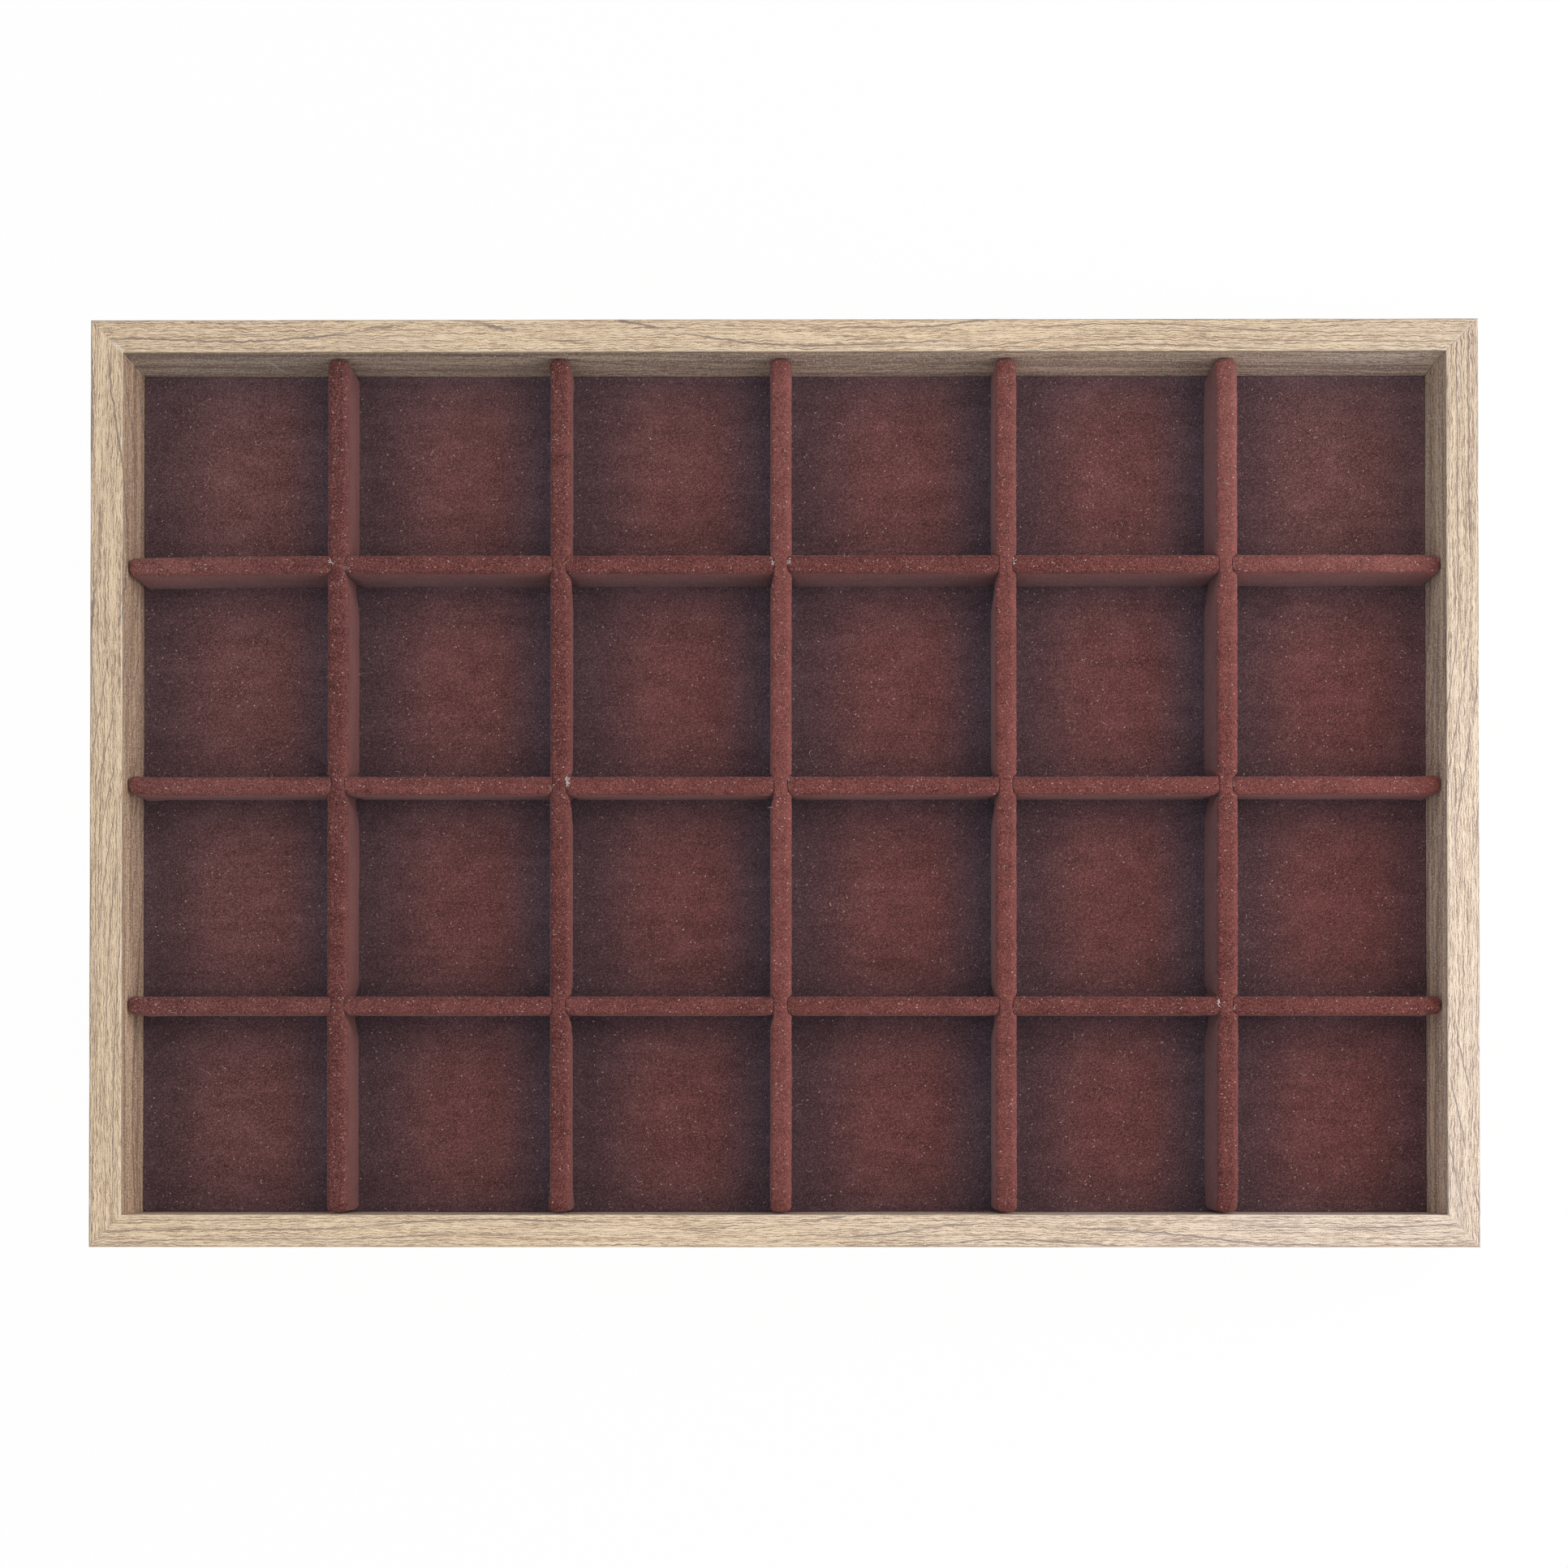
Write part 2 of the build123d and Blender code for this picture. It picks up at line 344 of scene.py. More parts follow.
def grain_group():
    """Printed wood grain, drawn out along the rail.

    It has wavy streaks, evenly pressed lines, specks, pores, broad bands and growth lines."""
    tree, net, given, out = new_group(
        "Printed wood grain",
        [
            ("Grain Place", "Vector"),
            ("Rail Number", "Float"),
            ("Bleach", "Float"),
            ("Light Wood", "Color"),
            ("Mid Wood", "Color"),
            ("Dark Wood", "Color"),
            ("Grey Wood", "Color"),
            ("Growth Line", "Color"),
            ("Bleached Tint", "Color"),
            ("Streak Strength", "Float"),
        ],
        [("Color", "Color"), ("Roughness", "Float"), ("Height", "Float")],
    )
    split = net.split(given["Grain Place"])
    along = net.maths("MULTIPLY_ADD", given["Rail Number"], 1.37, split[0])
    across = net.maths("MULTIPLY_ADD", given["Rail Number"], 0.231, split[1])
    base = net.add("CombineXYZ", {"X": along, "Y": across}).outputs[0]
    wander = net.noise(net.stretched(base, (15, 40, 1)), detail=1)
    ripple = net.noise(net.stretched(base, (420, 380, 1)), detail=2)
    drift = net.swing(wander, 0.0040, across)
    drift = net.swing(ripple, 0.0009, drift)
    lines = net.add("CombineXYZ", {"X": along, "Y": drift}).outputs[0]
    bands = net.noise(net.stretched(lines, (7, 420, 1)), detail=3)
    fine = net.noise(net.stretched(lines, (430, 4600, 1), shift=7.3), detail=1, roughness=0.6)
    hairs = net.noise(net.stretched(lines, (50, 4300, 1), shift=17.7), detail=1)
    specks = net.noise(net.stretched(lines, (2600, 5200, 1), shift=11.9), detail=1)
    phase = net.noise(net.stretched(lines, (260, 700, 1), shift=13.1), detail=1)
    pressed = net.maths("MULTIPLY", drift, PRESSED_LINE_TURN)
    pressed = net.maths("SINE", net.swing(phase, 11.0, pressed))
    depth = net.noise(net.stretched(lines, (240, 900, 1), shift=5.7), detail=1)
    depth = net.ramp(depth, 0.3, 0.7, 0.10, 0.42)
    share = net.swing(fine, 2.6, 0.66)
    share = net.swing(hairs, 2.5, share)
    share = net.swing(specks, 1.7, share)
    share = net.swing(bands, 0.25, share)
    share = net.maths("MULTIPLY_ADD", pressed, depth, share)
    tone = net.mixed(net.ramp(share, -0.15, 0.62), given["Dark Wood"], given["Mid Wood"])
    tone = net.mixed(net.ramp(share, 0.45, 1.15), tone, given["Light Wood"])
    cool = net.noise(net.stretched(lines, (22, 900, 1), shift=3.1), detail=3)
    tone = net.mixed(net.ramp(cool, 0.50, 0.72, 0.0, 0.24), tone, given["Grey Wood"])
    pores = net.noise(net.stretched(lines, (90, 4600, 1), shift=29.9), detail=2)
    pore_share = net.maths("MULTIPLY", net.ramp(pores, 0.58, 0.70), given["Streak Strength"])
    tone = net.mixed(pore_share, tone, given["Dark Wood"])
    sweep = net.noise(net.stretched(base, (5.5, 16, 1), shift=23.0), detail=1)
    rings = net.swing(sweep, 0.055, drift)
    ring_wave = net.maths("SINE", net.maths("MULTIPLY", rings, GROWTH_LINE_TURN))
    ring_share = net.ramp(ring_wave, 0.93, 1.0, 0.0, 0.9)
    broken = net.noise(net.stretched(lines, (11, 260, 1), shift=29.0), detail=2)
    ring_share = net.maths("MULTIPLY", ring_share, net.ramp(broken, 0.40, 0.56))
    tone = net.mixed(ring_share, tone, given["Growth Line"])
    # Fading and painted light, multiplied in where the share says.
    tone = net.mixed(given["Bleach"], tone, given["Bleached Tint"], "MULTIPLY")
    relief = net.maths("SUBTRACT", share, pore_share)
    net.put(out["Color"], tone)
    net.put(out["Roughness"], net.ramp(share, 0.0, 1.0, 0.66, 0.46))
    net.put(out["Height"], net.maths("SUBTRACT", relief, ring_share))
    return tree


def edge_group():
    """A line by distance, pale or dark, close to an edge or a joint and broken up by noise along it: wear and
    dark joints, and painted highlight and shade along edges.
    """
    tree, net, given, out = new_group(
        "Worn edge line",
        [
            ("Color", "Color"),
            ("Line Color", "Color"),
            ("Distance", "Float"),
            ("Line Width", "Float"),
            ("Strength", "Float"),
            ("Place", "Vector"),
            ("Break Size", "Float"),
        ],
        [("Color", "Color")],
    )
    near = net.maths("DIVIDE", given["Distance"], given["Line Width"])
    near = net.ramp(net.maths("ABSOLUTE", near), 0.4, 1.0, 1.0, 0.0)
    spots = net.noise(given["Place"], given["Break Size"], detail=2)
    mask = net.maths("MULTIPLY", near, net.ramp(spots, 0.35, 0.6))
    mask = net.maths("MULTIPLY", mask, given["Strength"])
    net.put(out["Color"], net.mixed(mask, given["Color"], given["Line Color"]))
    return tree


def pile_group():
    """Velvet pile: short slanting tufts, clumps, brushed patches, pale flecks, and painted shade in the
    corners.
    """
    tree, net, given, out = new_group(
        "Velvet pile",
        [
            ("Place", "Vector"),
            ("Tuft Shade", "Color"),
            ("Tuft Tip", "Color"),
            ("Bloom", "Color"),
            ("Bloom Share", "Float"),
            ("Lift", "Float"),
            ("Stray Fibre", "Color"),
            ("Stray Share", "Float"),
            ("Tuft Contrast", "Float"),
            ("Brushed Contrast", "Float"),
        ],
        [("Color", "Color"), ("Height", "Float")],
    )
    place = given["Place"]
    falling = net.noise(net.stretched(place, (3000, 5400, 4400), turn=-0.85), detail=1, roughness=0.6)
    rising = net.noise(net.stretched(place, (3200, 5600, 4500), turn=0.70, shift=0.4), detail=1)
    tufts = net.maths("MAXIMUM", falling, rising)
    clumps = net.noise(net.stretched(place, (1300, 1700, 1500), turn=0.3, shift=0.6), detail=2)
    patches = net.noise(net.stretched(place, (130, 190, 160), shift=0.9), detail=2)
    rows = net.noise(net.stretched(place, (26, 480, 300), shift=1.3), detail=1)
    bright = net.maths("MULTIPLY", net.ramp(tufts, 0.58, 0.90), given["Tuft Contrast"])
    share = net.maths("ADD", net.ramp(tufts, 0.32, 0.64, 0.0, 0.50), bright)
    share = net.swing(clumps, net.maths("MULTIPLY", given["Tuft Contrast"], 0.35), share)
    share = net.swing(patches, given["Brushed Contrast"], share)
    share = net.swing(rows, 0.2, share)
    # Painted light and shade shift the share towards the tufts' tips or the shade between them.
    share = net.maths("ADD", share, given["Lift"])
    share = net.maths("MINIMUM", net.maths("MAXIMUM", share, 0.0), 2.0)
    tone = net.add(
        "Mix",
        {0: share, 6: given["Tuft Shade"], 7: given["Tuft Tip"]},
        data_type="RGBA",
        clamp_factor=False,
    ).outputs[2]
    # Painted shade, keeping some of the tufts' texture.
    grey = net.add("CombineXYZ", {axis: net.ramp(share, 0.0, 1.6, 0.52, 2.3) for axis in "XYZ"}).outputs[0]
    tone = net.mixed(given["Bloom Share"], tone, net.mixed(1.0, given["Bloom"], grey, "MULTIPLY"))
    strays = 0.0
    for turn, shift in ((0.6, 0.0), (-0.75, 0.3)):
        cells = net.add(
            "TexVoronoi",
            {"Vector": net.stretched(place, (1100, 2600, 2200), turn=turn, shift=shift), "Scale": 1.0},
            feature="F1",
        ).outputs
        chosen = net.add("SeparateColor", {"Color": cells["Color"]}).outputs
        fleck = net.ramp(cells["Distance"], 0.16, 0.36, 1.0, 0.0)
        fleck = net.maths("MULTIPLY", fleck, net.maths("LESS_THAN", chosen[0], given["Stray Share"]))
        fleck = net.maths("MULTIPLY", fleck, net.ramp(chosen[1], 0.0, 1.0, 0.25, 0.95))
        strays = net.maths("MAXIMUM", strays, fleck)
    tone = net.mixed(strays, tone, given["Stray Fibre"])
    net.put(out["Color"], tone)
    net.put(out["Height"], net.maths("MULTIPLY_ADD", clumps, 0.8, tufts))
    return tree


def fibre_group():
    """Pressed board: fine fibres and darker flecks over a plain colour."""
    tree, net, given, out = new_group(
        "Pressed fibres",
        [("Place", "Vector"), ("Board", "Color"), ("Fleck", "Color"), ("Fleck Share", "Float")],
        [("Color", "Color"), ("Roughness", "Float"), ("Height", "Float")],
    )
    fine = net.noise(net.stretched(given["Place"], (900, 2600, 2600)), detail=4, roughness=0.7)
    broad = net.noise(net.stretched(given["Place"], (120, 160, 160), shift=5.0), detail=3)
    share = net.maths("MULTIPLY", net.ramp(fine, 0.45, 0.72), given["Fleck Share"])
    tone = net.mixed(share, given["Board"], given["Fleck"])
    tone = net.mixed(net.ramp(broad, 0.35, 0.7, 0.0, 0.25), tone, given["Fleck"])
    net.put(out["Color"], tone)
    net.put(out["Roughness"], net.ramp(fine, 0.3, 0.7, 0.78, 0.95))
    net.put(out["Height"], fine)
    return tree


def group(name, make):
    """The named node group, built the first time that it is asked for."""
    return bpy.data.node_groups.get(name) or make()


def new_material(name):
    """A material with an empty node tree, its net and its output's surface socket."""
    material = bpy.data.materials.new(name)
    material.use_nodes = True
    material.node_tree.nodes.clear()
    net = Net(material.node_tree)
    return material, net, net.add("OutputMaterial").inputs["Surface"]


def wood_foil_material(looks):
    """Satin foil with a printed grain: worn pale along its inner edge with a painted highlight there, painted
    shade lines along the edges, and pale at the mitres.
    """
    material, net, surface = new_material("wood grain foil")
    place = net.attribute("grain_place", "Vector")
    rail = net.attribute("rail_number")
    bleach = net.attribute("bleach")
    joint_gap = net.attribute("joint_gap")
    joint_glint = net.attribute("joint_glint")
    dye = net.attribute("dye", "Vector")
    grain = net.add(
        "Group",
        {
            "Grain Place": place,
            "Rail Number": rail,
            "Bleach": bleach,
            "Light Wood": (*looks.light_wood, 1),
            "Mid Wood": (*looks.mid_wood, 1),
            "Dark Wood": (*looks.dark_wood, 1),
            "Grey Wood": (*looks.grey_wood, 1),
            "Growth Line": (*looks.growth_line, 1),
            "Bleached Tint": (*looks.bleached_and_lit_tint, 1),
            "Streak Strength": looks.streak_strength,
        },
        node_tree=group("Printed wood grain", grain_group),
    ).outputs
    split = net.split(place)
    tone = grain["Color"]
    edge_across = foil_rise + rail_width
    # Lines along the section: the pale one on the top by the inner edge is rubbed wear and a painted
    # highlight, the dark ones just down the inner face and at the outer top edge are painted shade, and the
    # last two are the mitre's dark joint and its pale paper edge.
    for distance, colour, width, strength, size in (
        (net.maths("SUBTRACT", split[1], edge_across - 0.40 * MM), looks.pale_wear_and_highlight, 0.26, 0.50, 180.0),
        (net.maths("SUBTRACT", split[1], edge_across + 0.25 * MM), looks.dark_wood, 0.25, 0.65, 60.0),
        (net.maths("SUBTRACT", split[1], foil_rise), looks.dark_wood, 0.28, 0.45, 120.0),
        (split[2], looks.dark_wood, 0.20, joint_gap, 60.0),
        (net.maths("SUBTRACT", split[2], 0.24 * MM), looks.pale_wear_and_highlight, 0.20, joint_glint, 160.0),
    ):
        tone = net.add(
            "Group",
            {
                "Color": tone,
                "Line Color": (*colour, 1),
                "Distance": distance,
                "Line Width": width * MM,
                "Strength": strength,
                "Place": place,
                "Break Size": size,
            },
            node_tree=group("Worn edge line", edge_group),
        ).outputs["Color"]
    inner = net.ramp(split[1], edge_across, edge_across + 0.5 * MM)
    smears = net.noise(net.stretched(place, (8, 620, 1), shift=41.0), detail=3, roughness=0.6)
    grit = net.noise(net.stretched(place, (2300, 1500, 1), shift=51.0), detail=1)
    for pattern, start, end, strength, colour in (
        (smears, 0.46, 0.64, 0.72, looks.dark_wood),
        (smears, 0.48, 0.30, 0.5, looks.light_wood),
        (grit, 0.57, 0.71, 0.8, looks.pale_wear_and_highlight),
        (grit, 0.45, 0.28, 0.8, looks.dark_wood),
    ):
        share = net.maths("MULTIPLY", inner, net.ramp(pattern, start, end, 0.0, strength))
        tone = net.mixed(share, tone, (*colour, 1))
    scratch = net.split(net.attribute("scratch", "Vector"))
    scored = net.ramp(net.maths("ABSOLUTE", scratch[0]), 0.1 * MM, 0.36 * MM, 0.8, 0.0)
    scored_along = net.ramp(net.maths("ABSOLUTE", scratch[1]), 5 * MM, 8 * MM, 1.0, 0.0)
    scored = net.maths("MULTIPLY", scored, scored_along)
    tone = net.mixed(scored, tone, (*looks.pale_wear_and_highlight, 1))
    # Painted light and shade, multiplied into the colour.
    tone = net.mixed(1.0, tone, dye, "MULTIPLY")
    bump = net.bump(grain["Height"], 0.6, 0.05 * MM)
    net.principled(
        surface,
        {"Base Color": tone, "Roughness": grain["Roughness"], "Normal": bump, "Specular IOR Level": 0.35},
    )
    return material


def velvet_material(name, looks, tip, greyer_tip, contrast, stray_share):
    """Velvet: pile colour by the group, with greyer tips where the greyer-tip share is high, painted shade
    and painted light from the mesh's attributes, and the soft edge light of a fibre sheen.
    """
    material, net, surface = new_material(name)
    place = net.add("TexCoord").outputs["Object"]
    # Painted shade: its share and how cool it is.
    painted_shade = net.attribute("bloom_share")
    # Painted light: how much lighter the pile is painted here.
    painted_light_lift = net.attribute("pile_lift")
    # Share of greyer pile tips.
    dust = net.attribute("dust")
    cool = net.attribute("cool_share")
    pile = net.add(
        "Group",
        {
            "Place": place,
            "Tuft Shade": (*looks.tuft_shade, 1),
            "Tuft Tip": net.mixed(dust, (*tip, 1), (*greyer_tip, 1)),
            "Bloom": net.mixed(cool, (*looks.painted_shade, 1), (*looks.cool_painted_shade, 1)),
            "Bloom Share": painted_shade,
            "Lift": painted_light_lift,
            "Stray Fibre": (*looks.stray_fibre, 1),
            "Stray Share": stray_share,
            "Tuft Contrast": contrast,
            "Brushed Contrast": looks.brushed_contrast,
        },
        node_tree=group("Velvet pile", pile_group),
    ).outputs
    bump = net.bump(pile["Height"], 0.5, 0.12 * MM)
    net.principled(
        surface,
        {
            "Base Color": pile["Color"],
            "Roughness": 1.0,
            "Specular IOR Level": 0.1,
            "Sheen Weight": looks.sheen_weight,
            "Sheen Roughness": looks.sheen_roughness,
            "Sheen Tint": (*looks.sheen_tint, 1),
            "Normal": bump,
        },
    )
    return material


def divider_velvet(name, looks):
    """The dividers' velvet, which holds more stray fibres than the floor's."""
    tips = (looks.divider_tip, looks.greyer_divider_tip)
    return velvet_material(name, looks, *tips, looks.divider_contrast, STRAYS_ON_DIVIDERS)


def board_material(name, board, fleck, fleck_share, relief, mesh_pitch=0.0):
    """Card, fibreboard or hardboard, with the print of a mesh on the hardboard's rough face."""
    material, net, surface = new_material(name)
    place = net.add("TexCoord").outputs["Object"]
    fibres = net.add(
        "Group",
        {"Place": place, "Board": (*board, 1), "Fleck": (*fleck, 1), "Fleck Share": fleck_share},
        node_tree=group("Pressed fibres", fibre_group),
    ).outputs
    height = fibres["Height"]
    if mesh_pitch:
        for turn in (0.0, math.pi / 2):
            lines = net.add(
                "TexWave",
                {"Vector": net.stretched(place, (1, 1, 1), turn=turn), "Scale": 0.314 / mesh_pitch},
            ).outputs[1]
            height = net.maths("ADD", height, lines)
    bump = net.bump(height, 0.6, relief)
    net.principled(
        surface,
        {
            "Base Color": fibres["Color"],
            "Roughness": fibres["Roughness"],
            "Normal": bump,
            "Specular IOR Level": 0.3,
        },
    )
    return material


def steel_material(bright, stained):
    """Drawn steel wire: fine lengthways scratches that change the roughness."""
    material, net, surface = new_material("bright steel")
    place = net.add("TexCoord").outputs["Object"]
    scratches = net.noise(net.stretched(place, (3000, 3000, 500)), detail=3)
    stains = net.noise(net.stretched(place, (700, 700, 700), shift=2.0), detail=2)
    tone = net.mixed(net.ramp(stains, 0.45, 0.75, 0.0, 0.5), (*bright, 1), (*stained, 1))
    bump = net.bump(scratches, 0.3, 0.02 * MM)
    net.principled(
        surface,
        {
            "Base Color": tone,
            "Metallic": 1.0,
            "Roughness": net.ramp(scratches, 0.3, 0.7, 0.25, 0.5),
            "Normal": bump,
        },
    )
    return material


# Settings that a user would change
class TrayStageSettings(bpy.types.PropertyGroup):
    camera_place: FloatVectorProperty(
        name="Camera place",
        description="Where the camera stands, over the front of the tray",
        default=(0.00399, -0.08719, 0.77470),
        subtype="TRANSLATION",
        unit="LENGTH",
    )
    camera_turn: FloatVectorProperty(
        name="Camera turn",
        description="Tilt, yaw and roll of the camera from straight down",
        default=(math.radians(0.6), math.radians(0.3), 0.0),
        subtype="EULER",
        unit="ROTATION",
    )
    lens: FloatProperty(
        name="Lens",
        description="Focal length in millimetres, on a sensor 36 mm wide",
        default=67.98,
        min=10,
    )
    shift: FloatVectorProperty(
        name="Shift",
        description="Lens shift to the right and up, in frame widths",
        default=(0.0, 0.2),
        size=2,
    )
    sky_strength: FloatProperty(
        name="Soft light",
        description="Strength of the white light from straight above, which fades towards the horizon",
        default=1.11,
        min=0,
    )
    main_power: FloatProperty(
        name="Main light",
        description="Power of the softbox above on the right",
        default=2.62,
        min=0,
        unit="POWER",
    )
    front_power: FloatProperty(
        name="Front light",
        description="Power of the low softbox at the front right",
        default=0.87,
        min=0,
        unit="POWER",
    )
    side_power: FloatProperty(
        name="Side light",
        description="Power of the small low softbox on the right",
        default=0.73,
        min=0,
        unit="POWER",
    )
    table_colour: FloatVectorProperty(
        name="Table",
        description="Colour of the plain table that the tray stands on",
        default=(0.86, 0.86, 0.86),
        subtype="COLOR",
        min=0,
        max=1,
    )


class TrayBoardSettings(bpy.types.PropertyGroup):
    fibreboard: FloatVectorProperty(
        name="Fibreboard",
        description="Colour of the rails' inside",
        default=(0.44, 0.32, 0.20),
        subtype="COLOR",
        min=0,
        max=1,
    )
    hardboard: FloatVectorProperty(
        name="Hardboard",
        description="Colour of the bottom board",
        default=(0.21, 0.125, 0.07),
        subtype="COLOR",
        min=0,
        max=1,
    )
    card: FloatVectorProperty(
        name="Card",
        description="Colour of the card inside the velvet",
        default=(0.60, 0.56, 0.49),
        subtype="COLOR",
        min=0,
        max=1,
    )
    steel: FloatVectorProperty(
        name="Steel",
        description="Colour of the pins and nails",
        default=(0.56, 0.55, 0.53),
        subtype="COLOR",
        min=0,
        max=1,
    )


class TrayFoilSettings(bpy.types.PropertyGroup):
    light_wood: FloatVectorProperty(
        name="Light wood",
        description="Palest colour of the printed grain",
        default=(0.83, 0.66, 0.46),
        subtype="COLOR",
        min=0,
        max=1,
    )
    mid_wood: FloatVectorProperty(
        name="Mid wood",
        description="Middle colour of the printed grain",
        default=(0.60, 0.438, 0.29),
        subtype="COLOR",
        min=0,
        max=1,
    )
    # The dark lines along the rails' edges are painted shade; those at the mitres are the dark joints.
    dark_wood: FloatVectorProperty(
        name="Dark wood",
        description="Colour of the pores, and of the dark lines along the edges and mitres",
        default=(0.31, 0.212, 0.155),
        subtype="COLOR",
        min=0,
        max=1,
    )
    grey_wood: FloatVectorProperty(
        name="Grey wood",
        description="Cool colour of the weathered streaks",
        default=(0.50, 0.42, 0.37),
        subtype="COLOR",
        min=0,
        max=1,
    )
    growth_line: FloatVectorProperty(
        name="Growth lines",
        description="Cool dark colour of the long lines that sweep across the grain",
        default=(0.25, 0.185, 0.16),
        subtype="COLOR",
        min=0,
        max=1,
    )
    # Faded and painted light: the grain's colours are multiplied by this where the foil has faded and is also
    # painted lighter, at the front right.
    bleached_and_lit_tint: FloatVectorProperty(
        name="Bleached tint",
        description="What the grain's colours are multiplied by where they have faded, at the front right",
        default=(1.06, 1.15, 1.45),
        min=0,
    )
    # Painted light and shade on the rails' inner faces, multiplied into the grain: the left face is painted
    # redder and lighter, like light bounced off the velvet, the right face is painted lighter, and the back
    # face is painted lighter towards the right.
    left_painted_light: FloatVectorProperty(
        name="Dye on the left",
        description="How the left rail's inner face is tinted by the velvet's dye",
        default=(1.12, 1.03, 1.02),
        min=0,
    )
    right_painted_light: FloatVectorProperty(
        name="Dye on the right",
        description="How the right rail's inner face is tinted by the velvet's dye",
        default=(1.285, 1.345, 1.38),
        min=0,
    )
    back_painted_light: FloatVectorProperty(
        name="Dye at the back",
        description="How the back rail's inner face is tinted by the velvet's dye, at its middle",
        default=(1.07, 1.12, 1.24),
        min=0,
    )
    # Also the colour of the painted highlight along the rails' inner top edge.
    pale_wear_and_highlight: FloatVectorProperty(
        name="Worn edge",
        description="Colour of the rubbed edges and of the paper at the mitres",
        default=(0.86, 0.76, 0.63),
        subtype="COLOR",
        min=0,
        max=1,
    )
    streak_strength: FloatProperty(
        name="Streaks",
        description="How dark the fine streaks of the grain are",
        default=0.55,
        min=0,
        max=1,
        subtype="FACTOR",
    )
    # Share of the fading and of the painted light at the front right.
    bleaching_and_painted_light: FloatProperty(
        name="Bleaching",
        description="How far the grain has faded at the front right corner",
        default=0.55,
        min=0,
        max=1,
        subtype="FACTOR",
    )
    edge_wobble: FloatProperty(
        name="Edge wobble",
        description="How far the rail faces wander from true",
        default=0.05 * MM,
        min=0,
        unit="LENGTH",
    )


class TrayVelvetSettings(bpy.types.PropertyGroup):
    tuft_shade: FloatVectorProperty(
        name="Tuft shade",
        description="Colour between the tufts of the pile",
        default=(0.055, 0.018, 0.018),
        subtype="COLOR",
        min=0,
        max=1,
    )
    floor_tip: FloatVectorProperty(
        name="Floor pile",
        description="Colour of the pile's tips on the floor",
        default=(0.270, 0.0915, 0.083),
        subtype="COLOR",
        min=0,
        max=1,
    )
    # Colour of the floor's greyer pile tips, where the greyer-tip share is high.
    greyer_floor_tip: FloatVectorProperty(
        name="Dusty floor pile",
        description="Colour of the pile's tips on the floor where fine dust lies",
        default=(0.262, 0.137, 0.135),
        subtype="COLOR",
        min=0,
        max=1,
    )
    divider_tip: FloatVectorProperty(
        name="Divider pile",
        description="Colour of the pile's tips on the dividers",
        default=(0.285, 0.088, 0.076),
        subtype="COLOR",
        min=0,
        max=1,
    )
    # Colour of the dividers' greyer pile tips, where the greyer-tip share is high.
    greyer_divider_tip: FloatVectorProperty(
        name="Dusty divider pile",
        description="Colour of the pile's tips on the dividers where fine dust lies",
        default=(0.285, 0.122, 0.110),
        subtype="COLOR",
        min=0,
        max=1,
    )
    # Painted shade on the velvet: the colours the pile is painted where shade falls, warm along the left of
    # each compartment and cool along the right.
    painted_shade: FloatVectorProperty(
        name="Corner bloom",
        description="Brown grey that the pile takes along the left of each compartment",
        default=(0.101, 0.063, 0.072),
        subtype="COLOR",
        min=0,
        max=1,
    )
    cool_painted_shade: FloatVectorProperty(
        name="Cool corner bloom",
        description="Blue grey that the pile takes along the right of each compartment",
        default=(0.110, 0.088, 0.112),
        subtype="COLOR",
        min=0,
        max=1,
    )
    stray_fibre: FloatVectorProperty(
        name="Stray fibre",
        description="Colour of pale fibres and lint",
        default=(0.64, 0.50, 0.47),
        subtype="COLOR",
        min=0,
        max=1,
    )
    frayed: FloatVectorProperty(
        name="Frayed card",
        description="Colour of the threads at the cuts",
        default=(0.90, 0.84, 0.82),
        subtype="COLOR",
        min=0,
        max=1,
    )
    sheen_tint: FloatVectorProperty(
        name="Sheen tint",
        description="Colour of the soft light at the edges of the pile",
        default=(1.0, 0.60, 0.58),
        subtype="COLOR",
        min=0,
        max=1,
    )
    sheen_weight: FloatProperty(
        name="Sheen",
        description="How much soft edge light the pile has",
        default=0.25,
        min=0,
        max=1,
        subtype="FACTOR",
    )
    sheen_roughness: FloatProperty(
        name="Sheen roughness",
        description="How far the soft edge light spreads",
        default=0.45,
        min=0,
        max=1,
        subtype="FACTOR",
    )
    brushed_contrast: FloatProperty(
        name="Brushed patches",
        description="How much the brushed patches differ in colour",
        default=0.45,
        min=0,
        max=2,
    )
    floor_contrast: FloatProperty(
        name="Floor tufts",
        description="How much the floor's tufts differ in colour",
        default=2.2,
        min=0,
    )
    divider_contrast: FloatProperty(
        name="Divider tufts",
        description="How much the dividers' tufts differ in colour",
        default=2.3,
        min=0,
    )
    # How much painted shade there is, and how far it reaches.
    side_painted_shade: FloatProperty(
        name="Bloom at the sides",
        description="Share of the corner bloom along the left and right of each compartment",
        default=0.9,
        min=0,
        max=1,
        subtype="FACTOR",
    )
    end_painted_shade: FloatProperty(
        name="Bloom at the ends",
        description="Share of the corner bloom along the back and front of each compartment",
        default=0.62,
        min=0,
        max=1,
        subtype="FACTOR",
    )
    divider_painted_shade: FloatProperty(
        name="Bloom on dividers",
        description="Share of the corner bloom at the foot of the dividers",
        default=0.05,
        min=0,
        max=1,
        subtype="FACTOR",
    )
    painted_shade_reach: FloatProperty(
        name="Bloom reach",
        description="Distance over which the corner bloom fades",
        default=9 * MM,
        min=0.1 * MM,
        unit="LENGTH",
    )
